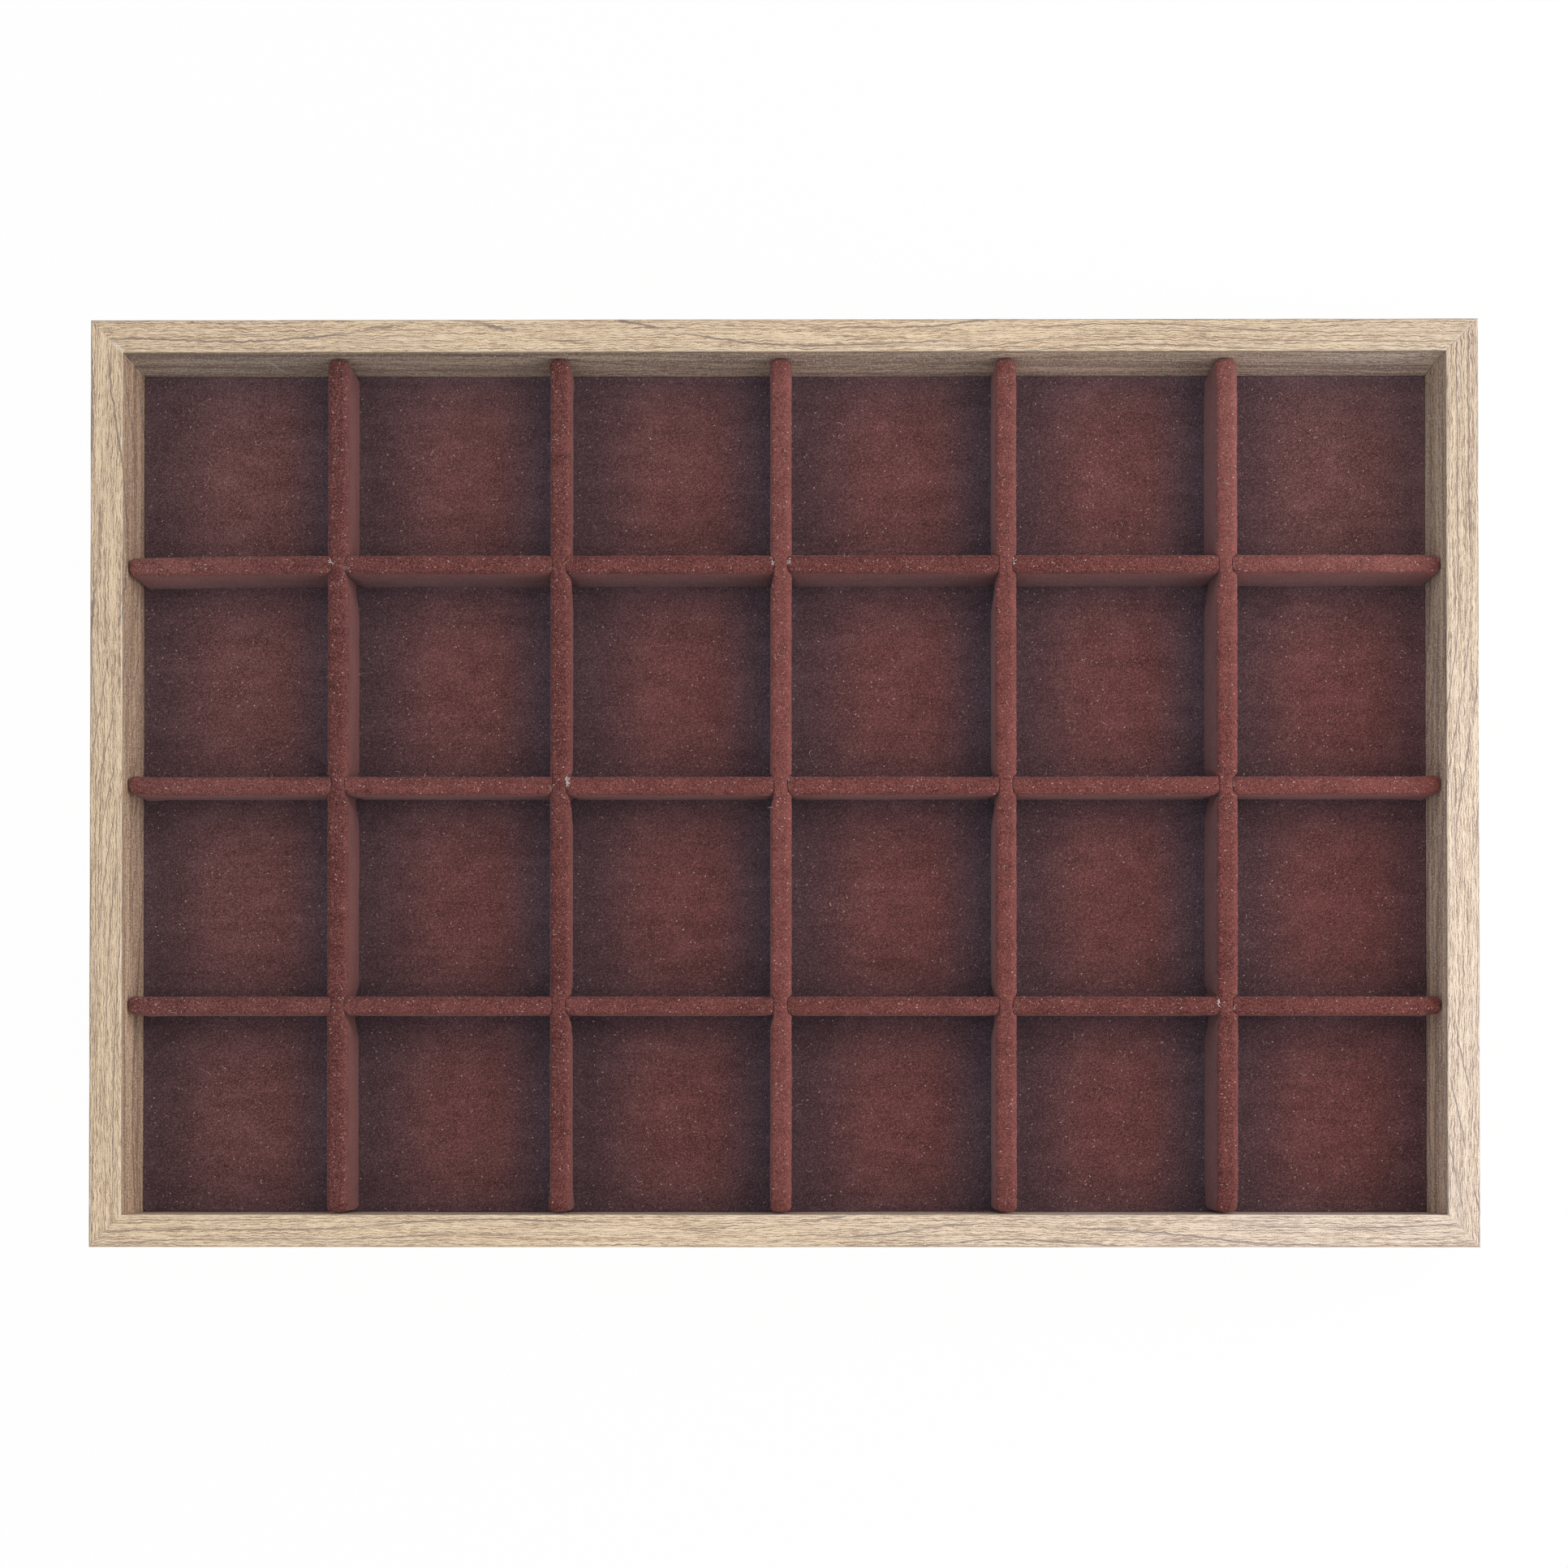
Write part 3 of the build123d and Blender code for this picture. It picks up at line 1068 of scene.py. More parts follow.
    # Painted light on the floor's pile.
    floor_painted_light: FloatProperty(
        name="Floor brushing",
        description="How much lighter the floor's pile lies at the back wall than in the middle",
        default=0.03,
    )
    edge_pile: FloatProperty(
        name="Edge pile",
        description="How far the floor's pile reaches past its cut edge",
        default=0.2 * MM,
        min=0,
        unit="LENGTH",
    )
    nap_height: FloatProperty(
        name="Nap height",
        description="How far the tufts stand out of the surface",
        default=0.05 * MM,
        min=0,
        unit="LENGTH",
    )


class TrayDividerSettings(bpy.types.PropertyGroup):
    long_lean: FloatVectorProperty(
        name="Long dividers' lean",
        description="How far each long divider's top stands to the right of its middle, between crossings",
        default=(0.0, 0.5 * MM, 0.1 * MM, 0.0, 0.35 * MM),
        size=5,
        unit="LENGTH",
    )
    cross_lean: FloatVectorProperty(
        name="Cross dividers' lean",
        description="How far each cross divider's top stands to the back of its middle, between crossings",
        default=(-0.25 * MM, -0.45 * MM, 0.0),
        size=3,
        unit="LENGTH",
    )
    crown: FloatProperty(
        name="Crown",
        description="Height of the rounded top",
        default=1.25 * MM,
        min=0,
        unit="LENGTH",
    )
    tip_length: FloatProperty(
        name="Tip length",
        description="Length over which the ends are rounded",
        default=1.7 * MM,
        min=0,
        unit="LENGTH",
    )
    back_bow: FloatProperty(
        name="Bow",
        description="How far the back divider's left end stands to the front",
        default=0.5 * MM,
        min=0,
        unit="LENGTH",
    )
    # Painted light on each long divider's pile.
    long_painted_light: FloatVectorProperty(
        name="Long dividers' brushing",
        description="How much lighter each long divider's pile lies, from left to right",
        default=(-0.17, -0.14, 0.09, 0.04, 0.0),
        size=5,
    )
    # Painted light on the dividers' sides that face the light.
    side_painted_light: FloatProperty(
        name="Brushing to the right",
        description="How much lighter the dividers' pile lies on the sides that face the light",
        default=0.20,
    )
    # Painted light on each cross divider's pile.
    cross_painted_light: FloatVectorProperty(
        name="Cross dividers' brushing",
        description="How much lighter each cross divider's pile lies, from front to back",
        default=(-0.05, 0.0, -0.10),
        size=3,
    )


class TrayLintSettings(bpy.types.PropertyGroup):
    floor_fibres: IntProperty(
        name="Floor lint",
        description="Number of stray fibres on the floor",
        default=1000,
        min=0,
    )
    divider_fibres: IntProperty(
        name="Divider lint",
        description="Number of stray fibres on each divider",
        default=125,
        min=0,
    )
    settled_fibres: IntProperty(
        name="Settled lint",
        description="Number of fibres that have settled along the walls",
        default=500,
        min=0,
    )
    fibre_radius: FloatProperty(
        name="Fibre radius",
        description="Radius of a stray fibre",
        default=0.055 * MM,
        min=0,
        unit="LENGTH",
    )


# Stage
SENSOR_WIDTH = 36
TABLE_HALF = 4.0
# How much of the table's white is its own light. The rest is lit, and shows the shadow.
TABLE_WHITE = 0.97
LIGHTS_AIM = (0, 0, 0.02)
# Name, place, width, height and the setting that gives the power
SOFTBOXES = (
    ("main softbox", (0.6, 0.1, 0.9), 0.6, 0.6, "main_power"),
    ("front softbox", (0.7, -0.6, 0.35), 0.6, 0.4, "front_power"),
    ("side softbox", (0.5, 0.1, 0.22), 0.3, 0.3, "side_power"),
)


def rays_that_see_white(net):
    """1 for rays from the camera, in reflections and through glass, and 0 for those that light the tray."""
    rays = net.add("LightPath").outputs
    seen = net.maths("MAXIMUM", rays["Is Camera Ray"], rays["Is Glossy Ray"])
    return net.maths("MAXIMUM", seen, rays["Is Transmission Ray"])


def stage_floor(settings):
    """A plain table, white to the camera but for the tray's faint shadow, and clear from below."""
    corners = [(x * TABLE_HALF, y * TABLE_HALF, 0) for x, y in ((-1, -1), (1, -1), (1, 1), (-1, 1))]
    mesh = bpy.data.meshes.new("table")
    mesh.from_pydata(corners, [], [(0, 1, 2, 3)])
    table = bpy.data.objects.new("table", mesh)
    bpy.context.scene.collection.objects.link(table)
    material, net, surface = new_material("plain table")
    paper = net.add("BsdfDiffuse", {"Color": (*settings.table_colour, 1)}).outputs[0]
    white = net.add("Emission", {"Color": (1, 1, 1, 1), "Strength": 1.0}).outputs[0]
    share = net.maths("MULTIPLY", rays_that_see_white(net), TABLE_WHITE)
    top = net.add("MixShader", {0: share, 1: paper, 2: white}).outputs[0]
    clear = net.add("BsdfTransparent").outputs[0]
    below = net.add("NewGeometry").outputs["Backfacing"]
    net.put(surface, net.add("MixShader", {0: below, 1: top, 2: clear}).outputs[0])
    mesh.materials.append(material)


def softbox(name, place, aim, width, height, power):
    """An area light at a place that faces the point that it aims at."""
    data = bpy.data.lights.new(name, "AREA")
    data.shape = "RECTANGLE"
    data.size = width
    data.size_y = height
    data.energy = power
    light = bpy.data.objects.new(name, data)
    bpy.context.scene.collection.objects.link(light)
    away = Vector(place) - Vector(aim)
    light.rotation_mode = "QUATERNION"
    light.rotation_quaternion = away.to_track_quat("Z", "Y")
    light.location = place
    light.visible_camera = False


def white_room(sky_strength):
    """A world that is white where it is seen, and lights the tray softly from above.

    The light's strength is the sine of its height over the horizon times sky_strength."""
    world = bpy.data.worlds.new("white room")
    world.use_nodes = True
    world.node_tree.nodes.clear()
    net = Net(world.node_tree)
    seen = rays_that_see_white(net)
    direction = net.split(net.add("TexCoord").outputs["Generated"])
    strength = net.maths("MULTIPLY", net.maths("MAXIMUM", direction[2], 0.0), sky_strength)
    soft = net.add("Background", {"Color": (1, 1, 1, 1), "Strength": strength}).outputs[0]
    white = net.add("Background", {"Color": (1, 1, 1, 1), "Strength": 1.0}).outputs[0]
    mixed = net.add("MixShader", {0: seen, 1: soft, 2: white}).outputs[0]
    net.put(net.add("OutputWorld").inputs["Surface"], mixed)
    return world


class TRAY_OT_stage(bpy.types.Operator):
    """Add the camera, the plain table and the soft studio light"""

    bl_idname = "tray.stage"
    bl_label = "Stage"

    def execute(self, context):
        scene = context.scene
        settings = scene.tray_stage
        scene.view_settings.view_transform = "Standard"
        camera = bpy.data.objects.new("camera", bpy.data.cameras.new("camera"))
        scene.collection.objects.link(camera)
        camera.data.sensor_width = SENSOR_WIDTH
        camera.data.lens = settings.lens
        camera.data.shift_x, camera.data.shift_y = settings.shift
        camera.data.clip_start = 20 * MM
        tilt, yaw, roll = settings.camera_turn
        turn = Matrix.Rotation(yaw, 4, "Y") @ Matrix.Rotation(tilt, 4, "X") @ Matrix.Rotation(roll, 4, "Z")
        camera.matrix_world = Matrix.Translation(settings.camera_place) @ turn
        scene.camera = camera
        stage_floor(settings)
        scene.world = white_room(settings.sky_strength)
        for name, place, width, height, power in SOFTBOXES:
            softbox(name, place, LIGHTS_AIM, width, height, getattr(settings, power))
        return {"FINISHED"}


# Hidden and carried-over parts
class TRAY_OT_board_finishes(bpy.types.Operator):
    """Give the boards, cards and nails that the CAD model brings their finishes"""

    bl_idname = "tray.board_finishes"
    bl_label = "Boards, cards and nails"

    def execute(self, context):
        boards = context.scene.tray_boards
        fleck_brown = (0.28, 0.19, 0.11)
        fleck_dark = (0.11, 0.06, 0.035)
        fleck_grey = (0.38, 0.34, 0.29)
        stain = (0.30, 0.27, 0.24)
        mesh_pitch = 1.4 * MM
        fibreboard = board_material("fibreboard", boards.fibreboard, fleck_brown, 0.6, 0.08 * MM)
        hardboard = board_material("hardboard", boards.hardboard, fleck_dark, 0.7, 0.15 * MM, mesh_pitch)
        card = board_material("grey card", boards.card, fleck_grey, 0.5, 0.05 * MM)
        steel = steel_material(boards.steel, stain)
        finishes = {
            "rail_core": fibreboard,
            "base_board": hardboard,
            "base_pins": steel,
            "corner_v_nails": steel,
            "floor_card": card,
            "cross_divider_core": card,
            "long_divider_core": card,
        }
        for name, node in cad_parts.items():
            for start, material in finishes.items():
                if name.startswith(start):
                    node.data.materials.clear()
                    node.data.materials.append(material)
        return {"FINISHED"}


# Rails
def foil_section(rows_outer, rows_top, rows_inner, radius):
    """Outer and inner line of the foil's section, and the arc length along it.

    It goes up the outer face, round a quarter circle, over the top, round
    another and down the inner face. The inner line lies one foil thickness in."""
    height = foil_rise
    arc = np.linspace(0, math.pi / 2, 5)
    up = np.linspace(0, height - radius, rows_outer)[:-1]
    over = np.linspace(radius, rail_width - radius, rows_top)[1:-1]
    down = np.linspace(height - radius, board_top - foil_low, rows_inner)[1:]
    rounded_in = radius * (1 - np.cos(arc))
    rounded_down = radius * (1 - np.sin(arc))
    inward = np.concatenate([0 * up, rounded_in, over, rail_width - rounded_down, rail_width + 0 * down])
    z = np.concatenate([up, height - rounded_down, height + 0 * over, height - rounded_in, down])
    length = np.concatenate([[0], np.cumsum(np.hypot(np.diff(inward), np.diff(z)))])
    inner_inward = np.clip(inward, foil_thickness, rail_width - foil_thickness)
    inner_z = np.minimum(z, height - foil_thickness)
    corner = np.maximum(radius - foil_thickness, 0.02 * MM)
    first = slice(len(up), len(up) + 5)
    second = slice(len(up) + 5 + len(over), len(up) + 10 + len(over))
    inner_inward[first] = foil_thickness + corner * (1 - np.cos(arc))
    inner_z[first] = height - foil_thickness - corner * (1 - np.sin(arc))
    inner_inward[second] = rail_width - foil_thickness - corner * (1 - np.sin(arc))
    inner_z[second] = height - foil_thickness - corner * (1 - np.cos(arc))
    return inward, z + foil_low, inner_inward, inner_z + foil_low, length


def scratch_place(run, arc, side):
    """Distance across and along from the middle of the slanting scratch on the back rail's inner face.

    Both are linear in the place along the rail and in the arc length round it."""
    if side != "back":
        return np.full((len(run), 3), FAR)
    u = run - SCRATCH_ALONG
    v = arc - (foil_rise + rail_width) - SCRATCH_DOWN
    across = u * math.cos(SCRATCH_SLOPE) + v * math.sin(SCRATCH_SLOPE)
    along = v * math.cos(SCRATCH_SLOPE) - u * math.sin(SCRATCH_SLOPE)
    return np.stack([across, along, 0 * u], axis=1)


def foil_rail(side, number, material, settings):
    """One rail's foil: its section carried along the rail, and cut off at 45 degrees at both ends.

    A point that lies an inset w from the outer face runs from w to the rail's
    length less w, so that both ends lie in the mitre planes. The faces wander a
    little from true, less towards the mitres, where the rails meet."""
    section = foil_section(rows_outer=16, rows_top=14, rows_inner=15, radius=FOIL_ROUNDING)
    inward, z, inner_inward, inner_z, length = section
    turn = RAIL_SIDES.index(side)
    rail_length, outer = (tray_length, tray_width / 2) if turn % 2 == 0 else (tray_width, tray_length / 2)
    even = filled([0.0, 0.006, 0.994, 1.0], 0.0042)
    along = even[:, None] * 2 - 1

    def placed(inset, height, wobble):
        run = along * (rail_length / 2 - inset[None, :])
        deep = -outer + inset[None, :] + wobble
        up = height[None, :] + 0 * run
        turns = ((1, 0, 0, 1), (0, -1, 1, 0), (-1, 0, 0, -1), (0, 1, -1, 0))[turn]
        x = turns[0] * run + turns[1] * deep
        y = turns[2] * run + turns[3] * deep
        return np.stack([x, y, up], axis=2)

    run = along * (rail_length / 2 - inward[None, :])
    arc = length[None, :] + 0 * run
    fade = smooth_step(rail_length / 2 - np.abs(run), 8 * MM, 30 * MM)
    long_seed, short_seed = FOIL_SEEDS
    wobble = lattice_noise(run, arc, 24 * MM, 60 * MM, long_seed + number) * settings.edge_wobble * fade
    ripple = lattice_noise(run, arc, 5 * MM, 40 * MM, short_seed + number)
    wobble += ripple * settings.edge_wobble * 0.4 * fade
    outer_points = placed(inward, z, wobble)
    inner_points = placed(inner_inward, inner_z, wobble)
    columns, rows = run.shape
    index = np.arange(columns * rows).reshape(columns, rows)
    points = np.concatenate([outer_points.reshape(-1, 3), inner_points.reshape(-1, 3)])
    faces = shell_faces(index, columns * rows, np.ones((columns - 1, rows - 1), bool), False)
    mitre = (rail_length / 2 - inward[None, :] - np.abs(run)) / math.sqrt(2)
    past_edge = np.maximum(arc - (foil_rise + rail_width + 0.5 * MM), 0)
    printed = arc - INNER_GRAIN_LEFT_OUT * past_edge
    grain = np.stack([run, printed, mitre], axis=2).reshape(-1, 3)
    arc_twice = np.tile(arc.ravel(), 2)
    right = points[:, 0] / (tray_length / 2)
    front = -points[:, 1] / (tray_width / 2)
    at_left = right < 0
    at_back = front < 0
    inner_face = smooth_step(arc_twice, foil_rise + rail_width, foil_rise + rail_width + 0.6 * MM)
    # Painted light on the inner faces: the back face is painted lighter towards the right and at its ends,
    # and the right face towards the back.
    painted_light_tints = {"left": settings.left_painted_light, "right": settings.right_painted_light}
    dye = np.array(painted_light_tints.get(side, settings.back_painted_light))[None, :] * np.ones((len(points), 1))
    if side == "back":
        ends = smooth_step(np.abs(right), 0.5, 0.95)[:, None] * np.array([0.06, 0.12, 0.18])[None, :]
        dye = dye * (1 + 0.22 * np.clip(right, -1, 1)[:, None] + ends)
        dye = dye * (1 + 0.15 * smooth_step(right, 0.6, 0.95))[:, None]
    if side == "right":
        dye = dye * (1 + np.array([0.05, 0.10, 0.13])[None, :] * np.clip(-front, -1, 1)[:, None])
    # Painted light and shade over the whole foil: a little lighter at the front left, with painted shade at
    # the back right and at the far left end.
    painted_light_gain = 1 + 0.05 * np.clip(front, 0, 1) * (1 - smooth_step(right, -0.2, 0.9))
    painted_light_gain -= 0.14 * smooth_step(right, 0.2, 0.95) * smooth_step(-front, -0.1, 0.7)
    painted_light_gain -= 0.03 * (1 - smooth_step(right, -0.98, -0.9))
    inner_part = smooth_step(arc_twice, rim_height + rail_width * 0.55, rim_height + rail_width * 0.7)
    glint = np.where(at_left, np.where(at_back, 0.95 * inner_part, 0.15), np.where(at_back, 0.55, 0.2))
    values = {
        "grain_place": np.concatenate([grain, grain]),
        "rail_number": np.full(len(points), number, float),
        # Fading and painted light, growing towards the front right.
        "bleach": settings.bleaching_and_painted_light * smooth_step(right + 0.45 * front, 0.0, 1.45),
        "joint_gap": np.where(at_back, np.where(at_left, 0.25, 0.60), 0.22),
        "joint_glint": glint,
        "dye": (1 + (dye - 1) * inner_face[:, None]) * painted_light_gain[:, None],
        "scratch": scratch_place(np.tile(run.ravel(), 2), arc_twice, side),
    }
    piece = new_piece(f"wood_foil_{side}", points, faces, "tray", material, values)
    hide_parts(f"rail_foil_{side}")


class TRAY_OT_foil_rails(bpy.types.Operator):
    """Wrap the four mitred rails in wood grain foil"""

    bl_idname = "tray.foil_rails"
    bl_label = "Foil on the rails"

    def execute(self, context):
        settings = context.scene.tray_foil
        material = wood_foil_material(settings)
        for number, side in enumerate(RAIL_SIDES, start=1):
            foil_rail(side, number, material, settings)
        return {"FINISHED"}


# Velvet floor
def edge_distances(x, y):
    """How far points of the floor are from the left, right, back and front of their compartments."""

    def nearest(v, limit, places, half):
        before = [v + limit] + [np.where(v > place, v - place - half, FAR) for place in places]
        after = [limit - v] + [np.where(v <= place, place - v - half, FAR) for place in places]
        return [np.maximum(np.min(d, axis=0), 0) for d in (before, after)]

    left, right = nearest(x, floor_high[0], long_places, long_half)
    front, back = nearest(y, floor_high[1], cross_places, cross_half)
    return left, right, back, front


def floor_painted_shade(x, y, settings):
    """Share of the painted shade by the walls and dividers, and how cool it is.

    The share falls off from each face that the floor meets, exponentially at
    the ends and in a longer and softer curve at the sides, longest at the left
    and least at the right wall. The cool part is the right face's share of the
    sum."""
    left, right, back, front = edge_distances(x, y)
    reach = settings.painted_shade_reach
    beside_right_wall = x > long_places[-1]
    from_left = settings.side_painted_shade * (1 - smooth_step(left, -2 * MM, 2.7 * reach))
    from_right = settings.side_painted_shade * (1 - smooth_step(right, -2 * MM, 1.8 * reach))
    from_right = from_right * np.where(beside_right_wall, 0.5, 1.0)
    from_back = settings.end_painted_shade * np.exp(-back / (0.8 * reach))
    from_front = settings.end_painted_shade * np.exp(-front / (0.9 * reach))
    share = 1 - (1 - from_left) * (1 - from_right) * (1 - from_back) * (1 - from_front)
    cool = (from_right + 0.5 * from_back) / np.maximum(from_left + from_right + from_back + from_front, 1e-6)
    return share, cool


def dust(x, y):
    """Share of the greyer pile tips: most along the left wall and the back one, and in the back right corner.
    """
    left = 0.65 * np.exp(-(x + floor_high[0]) / 0.07)
    back = 0.4 * np.exp(-(floor_high[1] - y) / 0.05)
    front = 0.15 * np.exp(-(y + floor_high[1]) / 0.04)
    corner = 0.4 * smooth_step(x, 0.09, 0.15) * smooth_step(y, 0.02, 0.08)
    return np.clip(0.08 + left + back + front + corner, 0, 1)


def painted_floor_light(x, y):
    """How much lighter the floor's pile is painted: painted light and shade.

    It is painted lighter by the back wall and the back half of the right wall, and painted darker near the
    left of each compartment."""
    left = edge_distances(x, y)[0]
    left_shade = smooth_step(left, 1 * MM, 4 * MM) * (1 - smooth_step(left, 9 * MM, 19 * MM))
    back = np.exp(-np.maximum(floor_high[1] - y, 0) / (5 * MM))
    right = np.exp(-np.maximum(floor_high[0] - x, 0) / (5 * MM)) * smooth_step(y, -0.06, 0.08)
    return 0.16 * back + 0.16 * right - 0.09 * left_shade


def velvet_floor(material, settings):
    """The floor's velvet: a flat grid with a soft nap, with its border carried round the card's edge.

    The nap is the sum of two smooth random fields, measured down from the
    CAD's top. The border is one loop of points, repeated at each step of a
    section: a small quarter circle, the side, the hem and the card's edge. The
    pile reaches out past the cut edge, nearly to the rails."""
    half_x, half_y = floor_high[0] + settings.edge_pile, floor_high[1] + settings.edge_pile
    cover = half_x - card_high[0]
    nx = round(2 * half_x / FLOOR_CELL)
    ny = round(2 * half_y / FLOOR_CELL)
    i = np.arange(nx + 1)
    j = np.arange(ny + 1)
    x, y = np.meshgrid(
        np.linspace(-1, 1, nx + 1) * (half_x - FLOOR_ROUNDING),
        np.linspace(-1, 1, ny + 1) * (half_y - FLOOR_ROUNDING),
        indexing="ij",
    )
    broad_seed, soft_seed, fine_seed = FLOOR_SEEDS
    broad = lattice_noise(x, y, 9 * MM, 7 * MM, broad_seed) * 0.5
    nap = broad + lattice_noise(x, y, 1.9 * MM, 1.5 * MM, soft_seed) * 0.5
    nap += np.random.default_rng(fine_seed).uniform(-0.5, 0.5, x.shape)
    z = floor_high[2] + settings.nap_height * (nap - 1.5)
    for a in (0, -1):
        for b in (0, -1):
            x[a, b] -= np.sign(x[a, b]) * FLOOR_ROUNDING
            y[a, b] -= np.sign(y[a, b]) * FLOOR_ROUNDING
    index = (i[:, None] * (ny + 1) + j[None, :]).astype(int)
    top = np.stack([x, y, z], axis=2).reshape(-1, 3)
    quads = np.stack([index[:-1, :-1], index[1:, :-1], index[1:, 1:], index[:-1, 1:]], axis=2).reshape(-1, 4)
    loop = np.concatenate([index[:-1, 0], index[-1, :-1], index[:0:-1, -1], index[0, :0:-1]])
    loop_x = top[loop, 0]
    loop_y = top[loop, 1]
    out_x = np.where(np.isin(loop, index[[0, -1], :]), np.sign(loop_x), 0)
    out_y = np.where(np.isin(loop, index[:, [0, -1]]), np.sign(loop_y), 0)
    steps = [
        (FLOOR_ROUNDING * math.sin(t), floor_high[2] - FLOOR_ROUNDING * (1 - math.cos(t)))
        for t in (0.5, 1.1, math.pi / 2)
    ]
    steps += [(FLOOR_ROUNDING, h) for h in np.linspace(floor_high[2] - FLOOR_ROUNDING, board_top, 5)[1:]]
    steps += [(FLOOR_ROUNDING - cover, board_top), (FLOOR_ROUNDING - cover, card_high[2])]
    rings = [loop]
    points = [top]
    total = len(top)
    for out, height in steps:
        ring = np.stack([loop_x + out * out_x, loop_y + out * out_y, np.full(len(loop), height)], axis=1)
        points.append(ring)
        rings.append(np.arange(total, total + len(loop)))
        total += len(loop)
    sides = [
        np.stack([a, b, np.roll(b, -1), np.roll(a, -1)], axis=1) for a, b in zip(rings[:-1], rings[1:])
    ]
    points = np.concatenate(points)
    faces = [quads, *sides, rings[-1][::-1][None, :]]
    # Painted shade by the walls and dividers.
    share, cool = floor_painted_shade(points[:, 0], points[:, 1], settings)
    values = {
        "bloom_share": share,
        "cool_share": cool,
        "dust": dust(points[:, 0], points[:, 1]),
        # Painted light and shade on the pile.
        "pile_lift": settings.floor_painted_light * points[:, 1] / half_y + painted_floor_light(points[:, 0], points[:, 1]),
    }
    piece = new_piece("floor_pile", points, faces, "tray", material, values)
    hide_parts("floor_velvet")


class TRAY_OT_velvet_floor(bpy.types.Operator):
    """Stretch the floor's velvet over its card"""

    bl_idname = "tray.velvet_floor"
    bl_label = "Velvet floor"

    def execute(self, context):
        looks = context.scene.tray_velvet
        tips = (looks.floor_tip, looks.greyer_floor_tip)
        material = velvet_material("floor velvet", looks, *tips, looks.floor_contrast, STRAYS_ON_FLOOR)
        velvet_floor(material, looks)
        return {"FINISHED"}


# Dividers
def crown_line(half, crown, count):
    """Half of a divider's rounded top, from the side to the middle, as shares of its half and heights.

    It is the curve |t|^p + |h|^p = 1, with p the crown power, at even steps along its length."""
    angle = np.linspace(0, math.pi / 2, 400)
    share = np.cos(angle) ** (2 / CROWN_POWER)
    rise = np.sin(angle) ** (2 / CROWN_POWER)
    walked = np.concatenate([[0], np.cumsum(np.hypot(np.diff(share) * half, np.diff(rise) * crown))])
    even = np.linspace(0, walked[-1], count + 1)
    return np.interp(even, walked, share), np.interp(even, walked, rise) * crown


def divider_profile(half, crown, side_rows, crown_rows):
    """Section of a divider's velvet, from one hem over the top to the other.

    Returns each row's share of the half thickness, its height, and the sideways
    and upward parts of its outward direction, then the same row on the card."""
    share, rise = crown_line(half, crown, crown_rows)
    hem = divider_low + 0.1 * MM
    t = np.linspace(0, 1, side_rows + 1)[:-1]
    heights = hem + (divider_top - crown - hem) * (1 - (1 - t) ** 1.25)
    z = np.concatenate([heights, divider_top - crown + rise])
    share = np.concatenate([np.ones(side_rows), share])
    slope = np.clip(np.gradient(z), 1e-9, None)
    across = -np.gradient(share * half)
    size = np.hypot(slope, across)
    walked = np.linspace(0, 1, crown_rows + 1) * (core_top - (divider_top - crown) + core_half)
    climb = core_top - (divider_top - crown)
    card_t = np.concatenate([np.full(side_rows, core_half), core_half - np.maximum(walked - climb, 0)])
    card_z = np.concatenate([heights, divider_top - crown + np.minimum(walked, climb)])
    card_z = card_z + 0.12 * MM * (1 - card_t / core_half)

    def both(values, sign=1):
        return np.concatenate([sign * values, values[-2::-1]])

    out_t = both(slope / size, -1)
    out_z = both(across / size)
    return both(share, -1), both(z), out_t, out_z, both(card_t, -1), both(card_z)


def painted_light_by_place(x, y):
    """How much lighter the dividers' pile is painted, as painted light: most in the back right corner, least
    at the front right.
    """
    right = smooth_step(x, 0.10, 0.16)
    corner = smooth_step(x, 0.08, 0.13) * smooth_step(y, 0.02, 0.08)
    left = smooth_step(-x, 0.11, 0.16) * smooth_step(y, 0.03, 0.06)
    front = smooth_step(x, 0.04, 0.09) * smooth_step(-y, 0.0, 0.06)
    return 0.14 * right + 0.23 * corner + 0.22 * left - 0.09 * front


